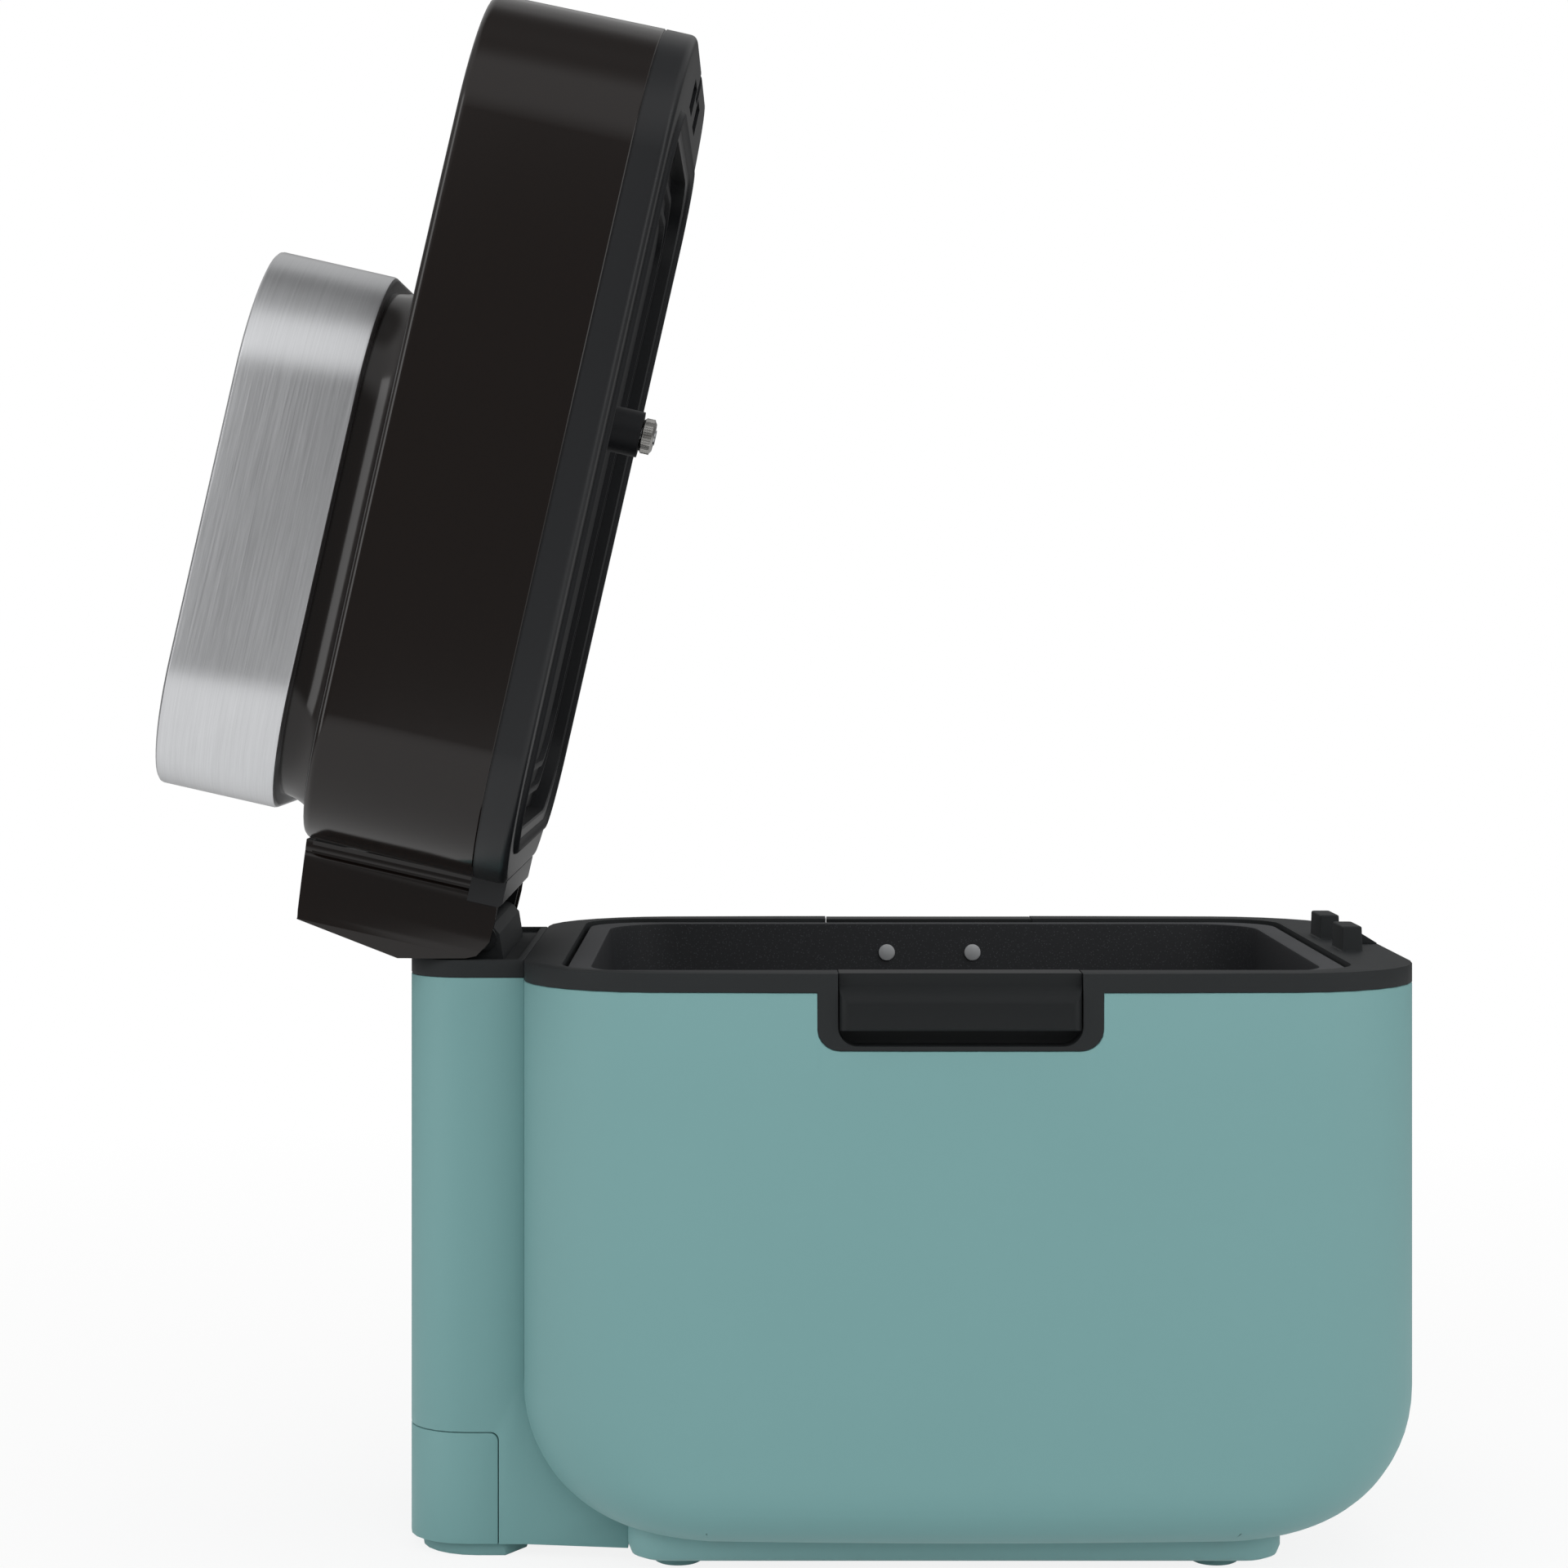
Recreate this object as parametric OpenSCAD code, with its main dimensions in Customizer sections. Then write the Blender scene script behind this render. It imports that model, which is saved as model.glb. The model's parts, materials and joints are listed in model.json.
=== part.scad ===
// Bread machine with a deep removable pan, a rear hinge column and a lid that
// carries a banded control head. Millimetres, +X to the front, +Z up.
// The origin lies on the table, under the middle of the machine with its lid up.

/* [Body] */
// Height of the rim's top above the table
rim_z = 220.5; // [210:0.5:240]
// Height of the black rim band
rim_h = 6.7; // [6:0.1:12]
// Width of the rim's top at the body's ends
rim_end = 19.35; // [18:0.05:24]
// Width of the rim's top at the body's sides
rim_side = 15; // [14:0.5:18]
// Radius of the upright corners seen from above
corner_r = 48; // [40:1:60]
// How far the long sides bow outwards
side_bow = 5; // [2:0.5:8]
// Radius of the lower front and rear edges
heel_r = 52; // [40:1:60]
// Radius of the lower side edges
side_r = 24; // [16:1:30]
// Wall of the outer shells
shell_t = 2.2; // [1.6:0.1:3]

/* [Base and feet] */
// Height of the body's underside
body_z = 13.8; // [12:0.1:16]
// Corner radius of the plinth
plinth_r = 14; // [10:1:40]
// Distance of the plinth's centre behind the body's centre
plinth_back = 5.2; // [2:0.2:8]
// Gap between the plinth and the table
foot_h = 3.8; // [2:0.1:6]
// Diameter of a round foot
foot_d = 17.8; // [12:0.1:24]

/* [Column] */
// How far the column stands out behind the body
column_l = 43.8; // [40:0.2:60]
// Width of the column
column_w = 146; // [130:1:150]
// Radius of the column's rear corners
column_r = 22; // [12:1:30]
// Height of the column's underside
column_z = 5; // [4:0.5:8]
// Height of the lower cover's seam
cover_z = 46; // [30:1:80]
// Length of the lower cover from the rear
cover_l = 34; // [24:1:38]
// Length of the rear foot
rear_foot_l = 39.5; // [24:0.5:40]
// Depth of the cap's deck below the rim
deck_drop = 2; // [1.5:0.1:3]

/* [Opening and pan] */
// Distance of the pan's centre behind the body's centre
pan_back = 4.7; // [0:0.1:8]
// Length of the rim's opening
mouth_l = 287.3; // [275:0.1:300]
// Width of the rim's opening
mouth_w = 224; // [214:1:236]
// Corner radius of the rim's opening
mouth_r = 24; // [20:1:34]
// Gap between the pan's flange and the rim at the ends
channel_end = 1.8; // [1.5:0.1:4]
// Gap between the pan's flange and the rim at the sides
channel_side = 2.5; // [2:0.1:4]
// Corner radius of the pan's inside
pan_r = 27; // [24:1:36]
// Wall of the pan
pan_t = 1.5; // [1:0.1:2]
// Height of the pan's floor
pan_floor_z = 84; // [80:1:110]
// Inward lean of the pan's walls over its height
pan_draft = 4.5; // [2:0.5:6]
// Width of the flange at the pan's ends
flange_end = 8.7; // [5:0.1:9]
// Width of the flange at the pan's sides
flange_side = 3.5; // [2.5:0.1:3.6]
// Depth of the flange below the rim
flange_drop = 1.3; // [1:0.1:4]
// Length of a pan handle
handle_l = 86; // [70:1:100]
// Distance of a handle's centre behind the body's centre
handle_back = 5.2; // [2:0.2:8]
// How far a handle stands out of the body's side
handle_proud = 2; // [1:0.1:3]
// Height of a handle
handle_h = 20; // [18:0.1:24]
// Spacing of the two rivets in a handle
rivet_pitch = 35.9; // [24:0.1:50]
// Diameter of a rivet's head
rivet_d = 6.8; // [5:0.1:9]
// Depth of the rivets below the rim
rivet_drop = 13.5; // [11:0.1:15]
// Border of the recess beside the handle
recess_rim = 7.6; // [4:0.1:10]
// Depth of the recess below the rim
recess_h = 27.2; // [26:0.1:36]

/* [Drive] */
// Diameter of the drive and pan shafts
shaft_d = 8; // [6:0.5:9]
// Running clearance of a shaft in its bore
run_gap = 0.05; // [0.02:0.01:0.1]
// Diameter of the driven pulley
pulley_d = 100; // [80:1:104]
// Diameter of the motor's pulley
motor_pulley_d = 20; // [16:1:24]
// Distance between the two pulleys' axes
belt_l = 82; // [80:1:84]
// Diameter of the motor
motor_d = 80; // [60:1:84]
// Diameter of a coupling
coupling_d = 30; // [24:1:36]
// Length of the kneading paddle's blade
paddle_l = 46; // [30:1:60]
// Height of the kneading paddle
paddle_h = 30; // [20:1:40]

/* [Hinge and lid] */
// Distance of the hinge behind the body's rear face
hinge_back = 16.6; // [16:0.1:20]
// Height of the hinge above the rim
hinge_up = 6.4; // [6.4:0.1:7]
// Angle at which the lid stands open
lid_open = 77.2; // [70:0.1:78]
// Diameter of a hinge pin
hinge_pin_d = 6; // [4:0.5:6]
// Gap between the closed lid and the rim
lid_gap = 0.9; // [0.3:0.1:1]
// Height of the lid's trim frame
trim_h = 12.6; // [11:0.1:15]
// Height of the lid's glossy shell
lid_h = 63.8; // [50:0.1:66]
// Gap between the hinge and the lid's rear face
lid_rear = 23.2; // [22:0.1:25]
// Wall of the lid's plastic parts
lid_t = 2.4; // [1.8:0.1:3]
// Diameter of the thumb nut
nut_d = 14; // [11:0.5:18]
// Height of the thumb nut
nut_h = 5; // [4:0.5:7]

/* [Control head] */
// Distance of the head's rear face from the hinge
head_u = 31; // [30:0.5:40]
// Distance of the head's front face from the lid's front
head_front = 109.6; // [90:0.1:130]
// Distance of the head's sides from the lid's sides
head_side = 18; // [15:0.5:30]
// Corner radius of the head
head_r = 48; // [30:1:60]
// Height of the steel band
band_h = 45.4; // [30:0.1:60]
// Wall of the steel band
band_t = 1.5; // [1.2:0.1:2.5]
// Chamfer on the steel band's edges
band_chamfer = 2.6; // [1:0.1:3]
// Height of the neck under the band
neck_h = 13.3; // [9:0.1:18]

/* [Interlock] */
// Height of the interlock posts
post_h = 9.4; // [6:0.1:10]
// Length of an interlock post, front to back
post_l = 8.8; // [6:0.1:10]
// Width of an interlock post
post_w = 25; // [16:0.5:30]
// Spacing of the interlock posts
post_pitch = 53; // [45:1:70]
// Distance of the posts from the front face
post_in = 10.6; // [9:0.1:12]
// Length of the sloping catch at the front
catch_l = 10.5; // [8:0.5:12]
// Width of the sloping catch
catch_w = 14; // [8:0.5:18]
// Height of the sloping catch
catch_h = 5.2; // [4:0.1:6]

/* [Hidden] */

$fn = 64;
slip = 0.3;
eps = 0.02;

body_teal = "#78a0a0";
base_teal = "#648c8c";
rim_black = "#242729";
lid_brown = "#1c1817";
steel_grey = "#b4b5b7";
plate_grey = "#8a8c8e";

body_l = mouth_l + 2 * rim_end;
body_w = mouth_w + 2 * rim_side;
pan_l = mouth_l - 2 * (flange_end + channel_end);
pan_w = mouth_w - 2 * (flange_side + channel_side);
plinth_l = body_l - 87.5;
plinth_w = body_w - 62;
foot_pitch_x = plinth_l - 41.5;
foot_pitch_y = plinth_w - 40;
pedestal_hw = column_w / 2 - 19;
head_l = body_l + hinge_back - head_u - head_front;
head_w = body_w - 2 * head_side;

// The control head is the rearmost point with the lid up, the rim the foremost
head_v = trim_h + lid_h + neck_h - hinge_up + lid_gap;
head_top = head_v + band_h;
head_reach = sin(lid_open) * head_top - cos(lid_open) * (head_u + band_chamfer);
body_x = (hinge_back + head_reach) / 2;
front_x = body_x + body_l / 2;
rear_x = body_x - body_l / 2;
column_x = rear_x - column_l;
hinge_x = rear_x - hinge_back;
hinge_z = rim_z + hinge_up;
pan_x = body_x - pan_back;
plinth_x = body_x - plinth_back;
handle_x = body_x - handle_back;
shell_top = rim_z - rim_h;
body_floor = body_z + shell_t;

// Stations across the machine, counted from its middle
pan_hw = pan_w / 2;
flange_hw = pan_hw + flange_side;
mouth_hw = mouth_w / 2;
body_hw = body_w / 2;
liner_t = 0.8;
liner_gap = 1;
liner_l = mouth_l + 2 * liner_gap;
liner_w = mouth_w + 2 * liner_gap;
liner_r = mouth_r + liner_gap;

heater_r = 3.2;
heater_z = pan_floor_z + 6;
heater_l = liner_l - 14;
heater_w = liner_w - 12;
probe_r = 4;
probe_z = pan_floor_z + 50;

// Levels of the drive, from the pan's floor down
pan_under = pan_floor_z - pan_t;
chamber_z = pan_under - 16.5;
plate_t = 2;
pillar_x = mouth_l / 2 - 53;
pillar_y = mouth_w / 2 - 36;
plate_z = chamber_z - liner_t - plate_t;
pulley_h = 10;
pulley_z = body_floor + 3.3;
bearing_h = 7;
housing_z = pulley_z + pulley_h + 4;
dog_z = chamber_z + 5;
dog_h = 5.5;
coupling_t = 4;
pan_coupling_z = dog_z + dog_h + slip;
shaft_r = shaft_d / 2;
bearing_r = 11;
motor_x = pan_x + belt_l;
motor_z = pulley_z + pulley_h + 1.5;
motor_shaft_r = 3;
belt_gap = 0.3;
belt_t = 2.4;
flange_t = 1.2;
boss_up = 2;
boss_r = 11;
bush_r = 7;
bush_h = pan_t + 2 * boss_up + 0.7;
pan_foot_r = 52;
paddle_z = pan_under - boss_up + bush_h + 0.5;
hub_h = paddle_h * 0.8;
shaft_up = paddle_z + hub_h - 2;

// Lid stations: u runs forward from the hinge, v upwards, with the lid shut
lid_v = lid_gap - hinge_up;
trim_top = lid_v + trim_h;
trim_edge = 3;
lid_top = trim_top + lid_h;
lid_l = body_l + hinge_back - lid_rear;
lid_u = lid_rear + lid_l / 2;
pan_u = pan_x - hinge_x;
cover_u = pan_u + 0.5;
cover_open_l = mouth_l - 24;
cover_open_w = mouth_w - 20;
cover_open_r = 34;
gasket_l = pan_l + 9;
gasket_w = pan_w + 3;
gasket_r = pan_r + 3;
gasket_hw = 2.5;
gasket_drop = flange_drop + lid_gap - slip;
head_cu = head_u + head_l / 2;
nut_u = head_cu + 67;
fan_r = 46;
fan_v = trim_top + 6;
fan_h = 14;
shield_v = fan_v + fan_h + 6;
shield_t = 1.2;
stud_r = 3;
boss_drop = 8;
tail_hw = column_w / 2;
arm_y = pedestal_hw + 1;
arm_t = 3;
pin_r = hinge_pin_d / 2;
knuckle_r = 5.5;

// ---- Outlines -----------------------------------------------------------

// Points of a rounded rectangle whose long sides bow outwards, counter-clockwise
function arc_pts(cx, cy, r, a0, n) =
    [for (i = [0:n]) [cx + r * cos(a0 + 90 * i / n), cy + r * sin(a0 + 90 * i / n)]];
function bow_at(p, l, w, bow) = [p[0], p[1] * (1 - 2 * bow / w * pow(2 * p[0] / l, 2))];
function plan(l, w, r, bow = 0, n = 7) =
    let (x = l / 2 - r, y = w / 2 - r, side = [-0.6, -0.2, 0.2, 0.6])
    [for (p = concat(
        arc_pts(x, y, r, 0, n), [for (s = side) [-s * x, w / 2]],
        arc_pts(-x, y, r, 90, n), arc_pts(-x, -y, r, 180, n),
        [for (s = side) [s * x, -w / 2]], arc_pts(x, -y, r, 270, n)))
        bow_at(p, l, w, bow)];

// One ring of a lofted solid at height z, moved along X by cx
function ring(z, l, w, r, bow = 0, cx = 0) = [for (p = plan(l, w, r, bow)) [p[0] + cx, p[1], z]];

// Closed solid through a list of rings, from the lowest to the highest
module loft(rings) {
    n = len(rings[0]);
    m = len(rings);
    pts = [for (r = rings) each r];
    sides = [for (k = [0:m - 2], i = [0:n - 1])
        let (a = k * n + i, b = k * n + (i + 1) % n)
        each [[a, a + n, b + n], [a, b + n, b]]];
    bottom = [[for (i = [0:n - 1]) i]];
    top = [[for (i = [n - 1:-1:0]) (m - 1) * n + i]];
    polyhedron(points = pts, faces = concat(bottom, sides, top), convexity = 6);
}

// Slab with the bowed outline
module slab(z, h, l, w, r, bow = 0) {
    translate([0, 0, z]) linear_extrude(h) polygon(plan(l, w, r, bow));
}

// Plain rounded rectangle with true arcs
module rounded(l, w, r) {
    square([l - 2 * r, w], center = true);
    square([l, w - 2 * r], center = true);
    for (x = [-1, 1], y = [-1, 1]) translate([x * (l / 2 - r), y * (w / 2 - r)]) circle(r);
}

// Block between two corners
module block(low, high) {
    translate(low) cube([for (i = [0:2]) high[i] - low[i]]);
}

// Bar whose X-Z outline is given, centred on the machine's middle plane
module bar_xz(points, y0, y1) {
    translate([0, y1, 0]) rotate([90, 0, 0]) linear_extrude(y1 - y0) polygon(points);
}

module ring_tube(h, r_out, r_in) {
    difference() {
        cylinder(h = h, r = r_out);
        translate([0, 0, -1]) cylinder(h = h + 2, r = r_in);
    }
}

module both_sides() {
    children();
    mirror([0, 1, 0]) children();
}

// Round rod or strip bent to a closed rounded rectangle; the section is a child
module frame_sweep(l, w, r) {
    for (i = [0:3]) {
        a = i * 90;
        run = i % 2 == 0 ? w - 2 * r : l - 2 * r;
        x = (i < 1 || i > 2 ? 1 : -1) * (l / 2 - r);
        y = (i < 2 ? 1 : -1) * (w / 2 - r);
        translate([x, y, 0]) rotate([0, 0, a]) rotate_extrude(angle = 90)
            translate([r, 0]) children();
        translate([i == 0 ? l / 2 : i == 2 ? -l / 2 : 0,
            i == 1 ? w / 2 : i == 3 ? -w / 2 : 0, 0])
            rotate([90, 0, a]) translate([0, 0, -run / 2])
                linear_extrude(run) children();
    }
}

// ---- Body ---------------------------------------------------------------

// Inset of a rounded lower edge of radius r at height h above its foot
function heel(r, h) = h >= r ? 0 : r - sqrt(r * r - (r - h) * (r - h));

// Outer or inner form of the body, pulled in by t all round
module body_form(t, top) {
    big = heel_r - t;
    small = side_r - t;
    lift = [for (a = [0, 14, 27, 40, 53, 66, 78, 90]) big * (1 - cos(a))];
    translate([body_x, 0, 0]) loft(concat(
        [for (h = lift) ring(body_z + t + h,
            body_l - 2 * t - 2 * heel(big, h), body_w - 2 * t - 2 * heel(small, h),
            corner_r - t - heel(small, h), side_bow)],
        [ring(top, body_l - 2 * t, body_w - 2 * t, corner_r - t, side_bow)]));
}

module body_shell() {
    color(body_teal) difference() {
        body_form(0, shell_top);
        body_form(shell_t, shell_top + 1);
        both_sides() translate([handle_x, -body_hw - 1, 0]) recess_outline(slip / 3, 14);
        block([rear_x - 1, -pedestal_hw + 8, chamber_z + 6],
            [rear_x + shell_t + 4, pedestal_hw - 8, shell_top - 30]);
        for (x = [-1, 1], y = [-1, 1])
            translate([body_x + x * foot_pitch_x / 3, y * foot_pitch_y / 3, body_z - 1])
                cylinder(h = shell_t + 2, r = 2.2);
    }
}

// Upright tab with rounded lower corners, grown by g and y_run deep
module recess_outline(g, y_run) {
    w = handle_l + 2 * recess_rim + 2 * g;
    z0 = rim_z - recess_h - g;
    rc = 8 + g;
    translate([0, y_run, 0]) rotate([90, 0, 0]) linear_extrude(y_run) {
        translate([-w / 2, z0 + rc]) square([w, shell_top - z0 - rc + 1]);
        translate([-w / 2 + rc, z0]) square([w - 2 * rc, rc + 1]);
        for (s = [-1, 1]) translate([s * (w / 2 - rc), z0 + rc]) circle(rc);
    }
}

module base_plate() {
    edge_r = 4.5;
    function plinth_ring(z, g) = ring(z, plinth_l - 2 * g, plinth_w - 2 * g, plinth_r - g, 0, plinth_x);
    color(base_teal) difference() {
        loft([plinth_ring(foot_h, edge_r), plinth_ring(foot_h + 0.28 * edge_r, 0.3 * edge_r),
            plinth_ring(foot_h + edge_r, 0), plinth_ring(body_z + 14, 0)]);
        translate([plinth_x, 0, 0]) slab(foot_h + shell_t, body_z + 14, plinth_l - 2 * edge_r,
            plinth_w - 2 * edge_r, plinth_r - edge_r);
        body_form(-0.1, shell_top);
        for (x = [-1, 1], y = [-1, 1])
            translate([body_x + x * foot_pitch_x / 3, y * foot_pitch_y / 3, foot_h - 1])
                cylinder(h = shell_t + 2, r = 2.2);
    }
}

module plinth_feet() {
    color("#4f7a7a") for (x = [-1, 1], y = [-1, 1])
        translate([plinth_x - 2.5 + x * foot_pitch_x / 2, y * foot_pitch_y / 2, 0]) {
            cylinder(h = 1.2, r1 = foot_d / 2 - 1.2, r2 = foot_d / 2);
            translate([0, 0, 1.2]) cylinder(h = foot_h - 1.2, r = foot_d / 2);
        }
}

// ---- Column ---------------------------------------------------------------

// Outline of the column from above, with its tail running under the body
function column_plan(g) =
    let (hw = column_w / 2 - g, x0 = column_x + g, x1 = rear_x - 0.1, r = column_r - g,
        x2 = plinth_x - plinth_l / 2 - 0.1)
    concat(
        [for (a = [180:15:270]) [x0 + r + r * cos(a), -hw + r + r * sin(a)]],
        [[x1, -hw], [x2, -hw - 5.5 + g / 2], [x2, hw + 5.5 - g / 2], [x1, hw]],
        [for (a = [90:15:180]) [x0 + r + r * cos(a), hw - r + r * sin(a)]]);

module column_prism(g, z0, z1) {
    translate([0, 0, z0]) linear_extrude(z1 - z0) polygon(column_plan(g));
}

// Space of the lower cover, grown by g along its seams
module cover_space(g) {
    x1 = column_x + cover_l + g;
    block([column_x - 1, -column_w, column_z - 1], [x1, column_w, cover_z + g]);
}

module column_shell() {
    color(body_teal) difference() {
        column_prism(0, column_z, shell_top);
        column_prism(shell_t, column_z + shell_t, shell_top + 1);
        body_form(-0.2, shell_top + 1);
        cover_space(slip);
    }
}

module column_cover() {
    color(body_teal) difference() {
        intersection() {
            column_prism(0, column_z, shell_top);
            cover_space(0);
        }
        column_prism(shell_t, column_z + shell_t, shell_top);
        translate([column_x - 1, 0, cover_z - 20]) rotate([0, 90, 0]) cylinder(h = 6, r = 6);
    }
}

module cord_gland() {
    color(rim_black) translate([column_x, 0, cover_z - 20]) rotate([0, 90, 0]) {
        translate([0, 0, -2.5]) ring_tube(2.5, 9, 4);
        ring_tube(shell_t + 2, 6, 4);
    }
}

module rear_foot() {
    x0 = column_x + 4.3;
    x1 = x0 + rear_foot_l;
    hw = column_w / 2 - 3;
    color("#4f7a7a") linear_extrude(column_z) polygon(concat(
        [for (a = [180:15:270]) [x0 + column_r + column_r * cos(a), -hw + column_r * (1 + sin(a))]],
        [[x1 - 7, -hw], [x1, -hw + 12], [x1, hw - 12], [x1 - 7, hw]],
        [for (a = [90:15:180]) [x0 + column_r + column_r * cos(a), hw - column_r * (1 - sin(a))]]));
}

module column_cap() {
    wall = 3;
    color(rim_black) difference() {
        intersection() {
            column_prism(0, shell_top, rim_z);
            block([column_x - 1, -column_w, shell_top], [rear_x - 0.1, column_w, rim_z]);
        }
        intersection() {
            column_prism(wall, rim_z - deck_drop, rim_z + 1);
            block([column_x, -column_w, 0], [rear_x - 0.1 - wall, column_w, rim_z + 1]);
        }
        column_prism(wall, shell_top - 1, rim_z - deck_drop - 2);
        block([column_x + column_r, -tail_hw + wall + 3, shell_top - 1],
            [rear_x - 4, tail_hw - wall - 3, rim_z - deck_drop - 2]);
    }
}

module hinge_pedestal() {
    z0 = rim_z - deck_drop;
    front = 6.5;
    color("#2b2c2e") difference() {
        union() {
            bar_xz([[hinge_x - knuckle_r, z0], [hinge_x + front + 1, z0],
                [hinge_x + front - 0.6, hinge_z + 1.5], [hinge_x + 3.2, hinge_z + 4.5],
                [hinge_x, hinge_z + 4.5], [hinge_x - knuckle_r, hinge_z]],
                -pedestal_hw, pedestal_hw);
            translate([hinge_x, pedestal_hw, hinge_z]) rotate([90, 0, 0])
                cylinder(h = 2 * pedestal_hw, r = knuckle_r);
        }
        both_sides() translate([hinge_x, pedestal_hw + 1, hinge_z]) rotate([90, 0, 0])
            cylinder(h = 17, r = pin_r + run_gap);
    }
}

// ---- Rim and chamber --------------------------------------------------------

module rim_frame() {
    notch_w = handle_l + 2 * slip + 0.2;
    pocket_y = liner_w / 2 + liner_t + 1;
    pocket_w = notch_w + 3;
    pocket_z = rim_z - recess_h;
    color(rim_black) difference() {
        union() {
            difference() {
                translate([body_x, 0, 0]) slab(shell_top, rim_h, body_l, body_w, corner_r, side_bow);
                translate([pan_x, 0, 0]) slab(shell_top - 1, rim_h + 2, mouth_l, mouth_w, mouth_r);
            }
            difference() {
                translate([body_x, 0, 0]) slab(shell_top - 6, 6, body_l - 2 * shell_t - 0.6,
                    body_w - 2 * shell_t - 0.6, corner_r - shell_t - 0.3, side_bow);
                translate([body_x, 0, 0]) slab(shell_top - 7, 8, body_l - 2 * shell_t - 4,
                    body_w - 2 * shell_t - 4, corner_r - shell_t - 2, side_bow);
            }
            both_sides() intersection() {
                translate([body_x, 0, 0]) slab(pocket_z, recess_h - rim_h, body_l, body_w,
                    corner_r, side_bow);
                union() {
                    translate([handle_x, -body_hw - 1, 0]) recess_outline(0, 4);
                    block([handle_x - pocket_w / 2, -body_hw + 2, pocket_z],
                        [handle_x + pocket_w / 2, -pocket_y, shell_top]);
                }
            }
        }
        both_sides() finger_space(notch_w, pocket_y + 1.5, pocket_z + 1.5);
    }
}

// Space behind and around a handle, open upwards and outwards
module finger_space(w, y_in, z0) {
    r = 7;
    translate([handle_x, -y_in, 0]) rotate([90, 0, 0]) linear_extrude(body_hw) {
        translate([-w / 2, z0 + r]) square([w, rim_z]);
        translate([-w / 2 + r, z0]) square([w - 2 * r, r + 1]);
        for (s = [-1, 1]) translate([s * (w / 2 - r), z0 + r]) circle(r);
    }
    block([handle_x - w / 2, -body_hw - 1, shell_top], [handle_x + w / 2, -mouth_hw + 4, rim_z + 1]);
}

module interlock_posts() {
    x1 = front_x - post_in;
    lip = 1.2;
    color(rim_black) for (y = [-1, 1]) translate([x1 - post_l, y * post_pitch / 2, rim_z])
        rotate([90, 0, 0]) translate([0, 0, -post_w / 2]) linear_extrude(post_w)
            polygon([[0, 0], [post_l, 0], [post_l, post_h - lip], [post_l - lip, post_h],
                [lip, post_h], [0, post_h - lip]]);
}

module lid_catch() {
    toe = 0.4;
    color(rim_black) bar_xz([[front_x - catch_l, rim_z], [front_x - 0.3, rim_z],
        [front_x - 0.3, rim_z + toe], [front_x - catch_l + 2.4, rim_z + catch_h],
        [front_x - catch_l, rim_z + catch_h]], -catch_w / 2, catch_w / 2);
}

module chamber_liner() {
    top = shell_top - 0.2;
    color(plate_grey) translate([pan_x, 0, 0]) difference() {
        union() {
            translate([0, 0, chamber_z - liner_t]) linear_extrude(top - chamber_z + liner_t)
                rounded(liner_l + 2 * liner_t, liner_w + 2 * liner_t, liner_r + liner_t);
            translate([0, 0, top - 1]) linear_extrude(1)
                rounded(liner_l + 5, liner_w + 2 * liner_t + 1.6, liner_r + 2);
        }
        translate([0, 0, chamber_z]) linear_extrude(rim_z) rounded(liner_l, liner_w, liner_r);
        translate([0, 0, chamber_z - 5]) cylinder(h = 10, r = 14.2);
        for (y = [-1, 1]) translate([-liner_l / 2 - 5, y * 20, heater_z]) rotate([0, 90, 0])
            cylinder(h = 10, r = heater_r);
        translate([-liner_l / 2 - 5, 0, probe_z]) rotate([0, 90, 0]) cylinder(h = 10, r = probe_r);
    }
}

module bake_heater() {
    r = 34;
    color("#6f6a66") translate([pan_x, 0, heater_z]) difference() {
        union() {
            frame_sweep(heater_l, heater_w, r) circle(heater_r);
            for (y = [-1, 1]) translate([-heater_l / 2 - 14, y * 20, 0]) rotate([0, 90, 0])
                cylinder(h = 14, r = heater_r - 0.3);
        }
        translate([-heater_l / 2 - heater_r - 1, -16, -10]) cube([2 * heater_r + 2, 32, 20]);
    }
}

module heater_clips() {
    half = heater_w / 2;
    wall = liner_w / 2;
    color(steel_grey) both_sides() for (x = [-1, 1])
        translate([pan_x + x * heater_l / 4, 0, heater_z]) difference() {
            block([-5, half, -5], [5, wall, 5]);
            translate([-6, half, 0]) rotate([0, 90, 0]) cylinder(h = 12, r = heater_r);
        }
}

module temperature_probe() {
    x0 = pan_x - liner_l / 2;
    color("#b9975a") translate([x0 - liner_t - 6, 0, probe_z]) rotate([0, 90, 0]) {
        cylinder(h = 6, r = probe_r + 3);
        translate([0, 0, 6]) cylinder(h = liner_t + 3.5, r = probe_r);
    }
}

// ---- Chassis and drive ------------------------------------------------------

module chassis_plate() {
    color(steel_grey) difference() {
        translate([pan_x, 0, plate_z]) linear_extrude(plate_t)
            rounded(2 * pillar_x + 60, 2 * pillar_y + 28, 12);
        translate([pan_x, 0, plate_z - 1]) cylinder(h = plate_t + 2, r = 14.2);
    }
}

module chassis_pillars() {
    color(plate_grey) for (x = [-1, 1], y = [-1, 1])
        translate([pan_x + x * pillar_x, y * pillar_y, body_floor])
            cylinder(h = plate_z - body_floor, r = 6);
}

module bearing_housing() {
    color("#a5a8aa") translate([pan_x, 0, 0]) difference() {
        union() {
            translate([0, 0, housing_z]) cylinder(h = chamber_z - housing_z, r = 14);
            translate([0, 0, plate_z - 4]) cylinder(h = 4, r = 28);
        }
        translate([0, 0, housing_z + 2]) cylinder(h = chamber_z, r = bearing_r);
        translate([0, 0, housing_z - 1]) cylinder(h = 4, r = shaft_r + 2);
        for (a = [45:90:315]) rotate([0, 0, a]) translate([22, 0, plate_z - 5])
            cylinder(h = 6, r = 2.2);
    }
}

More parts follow.
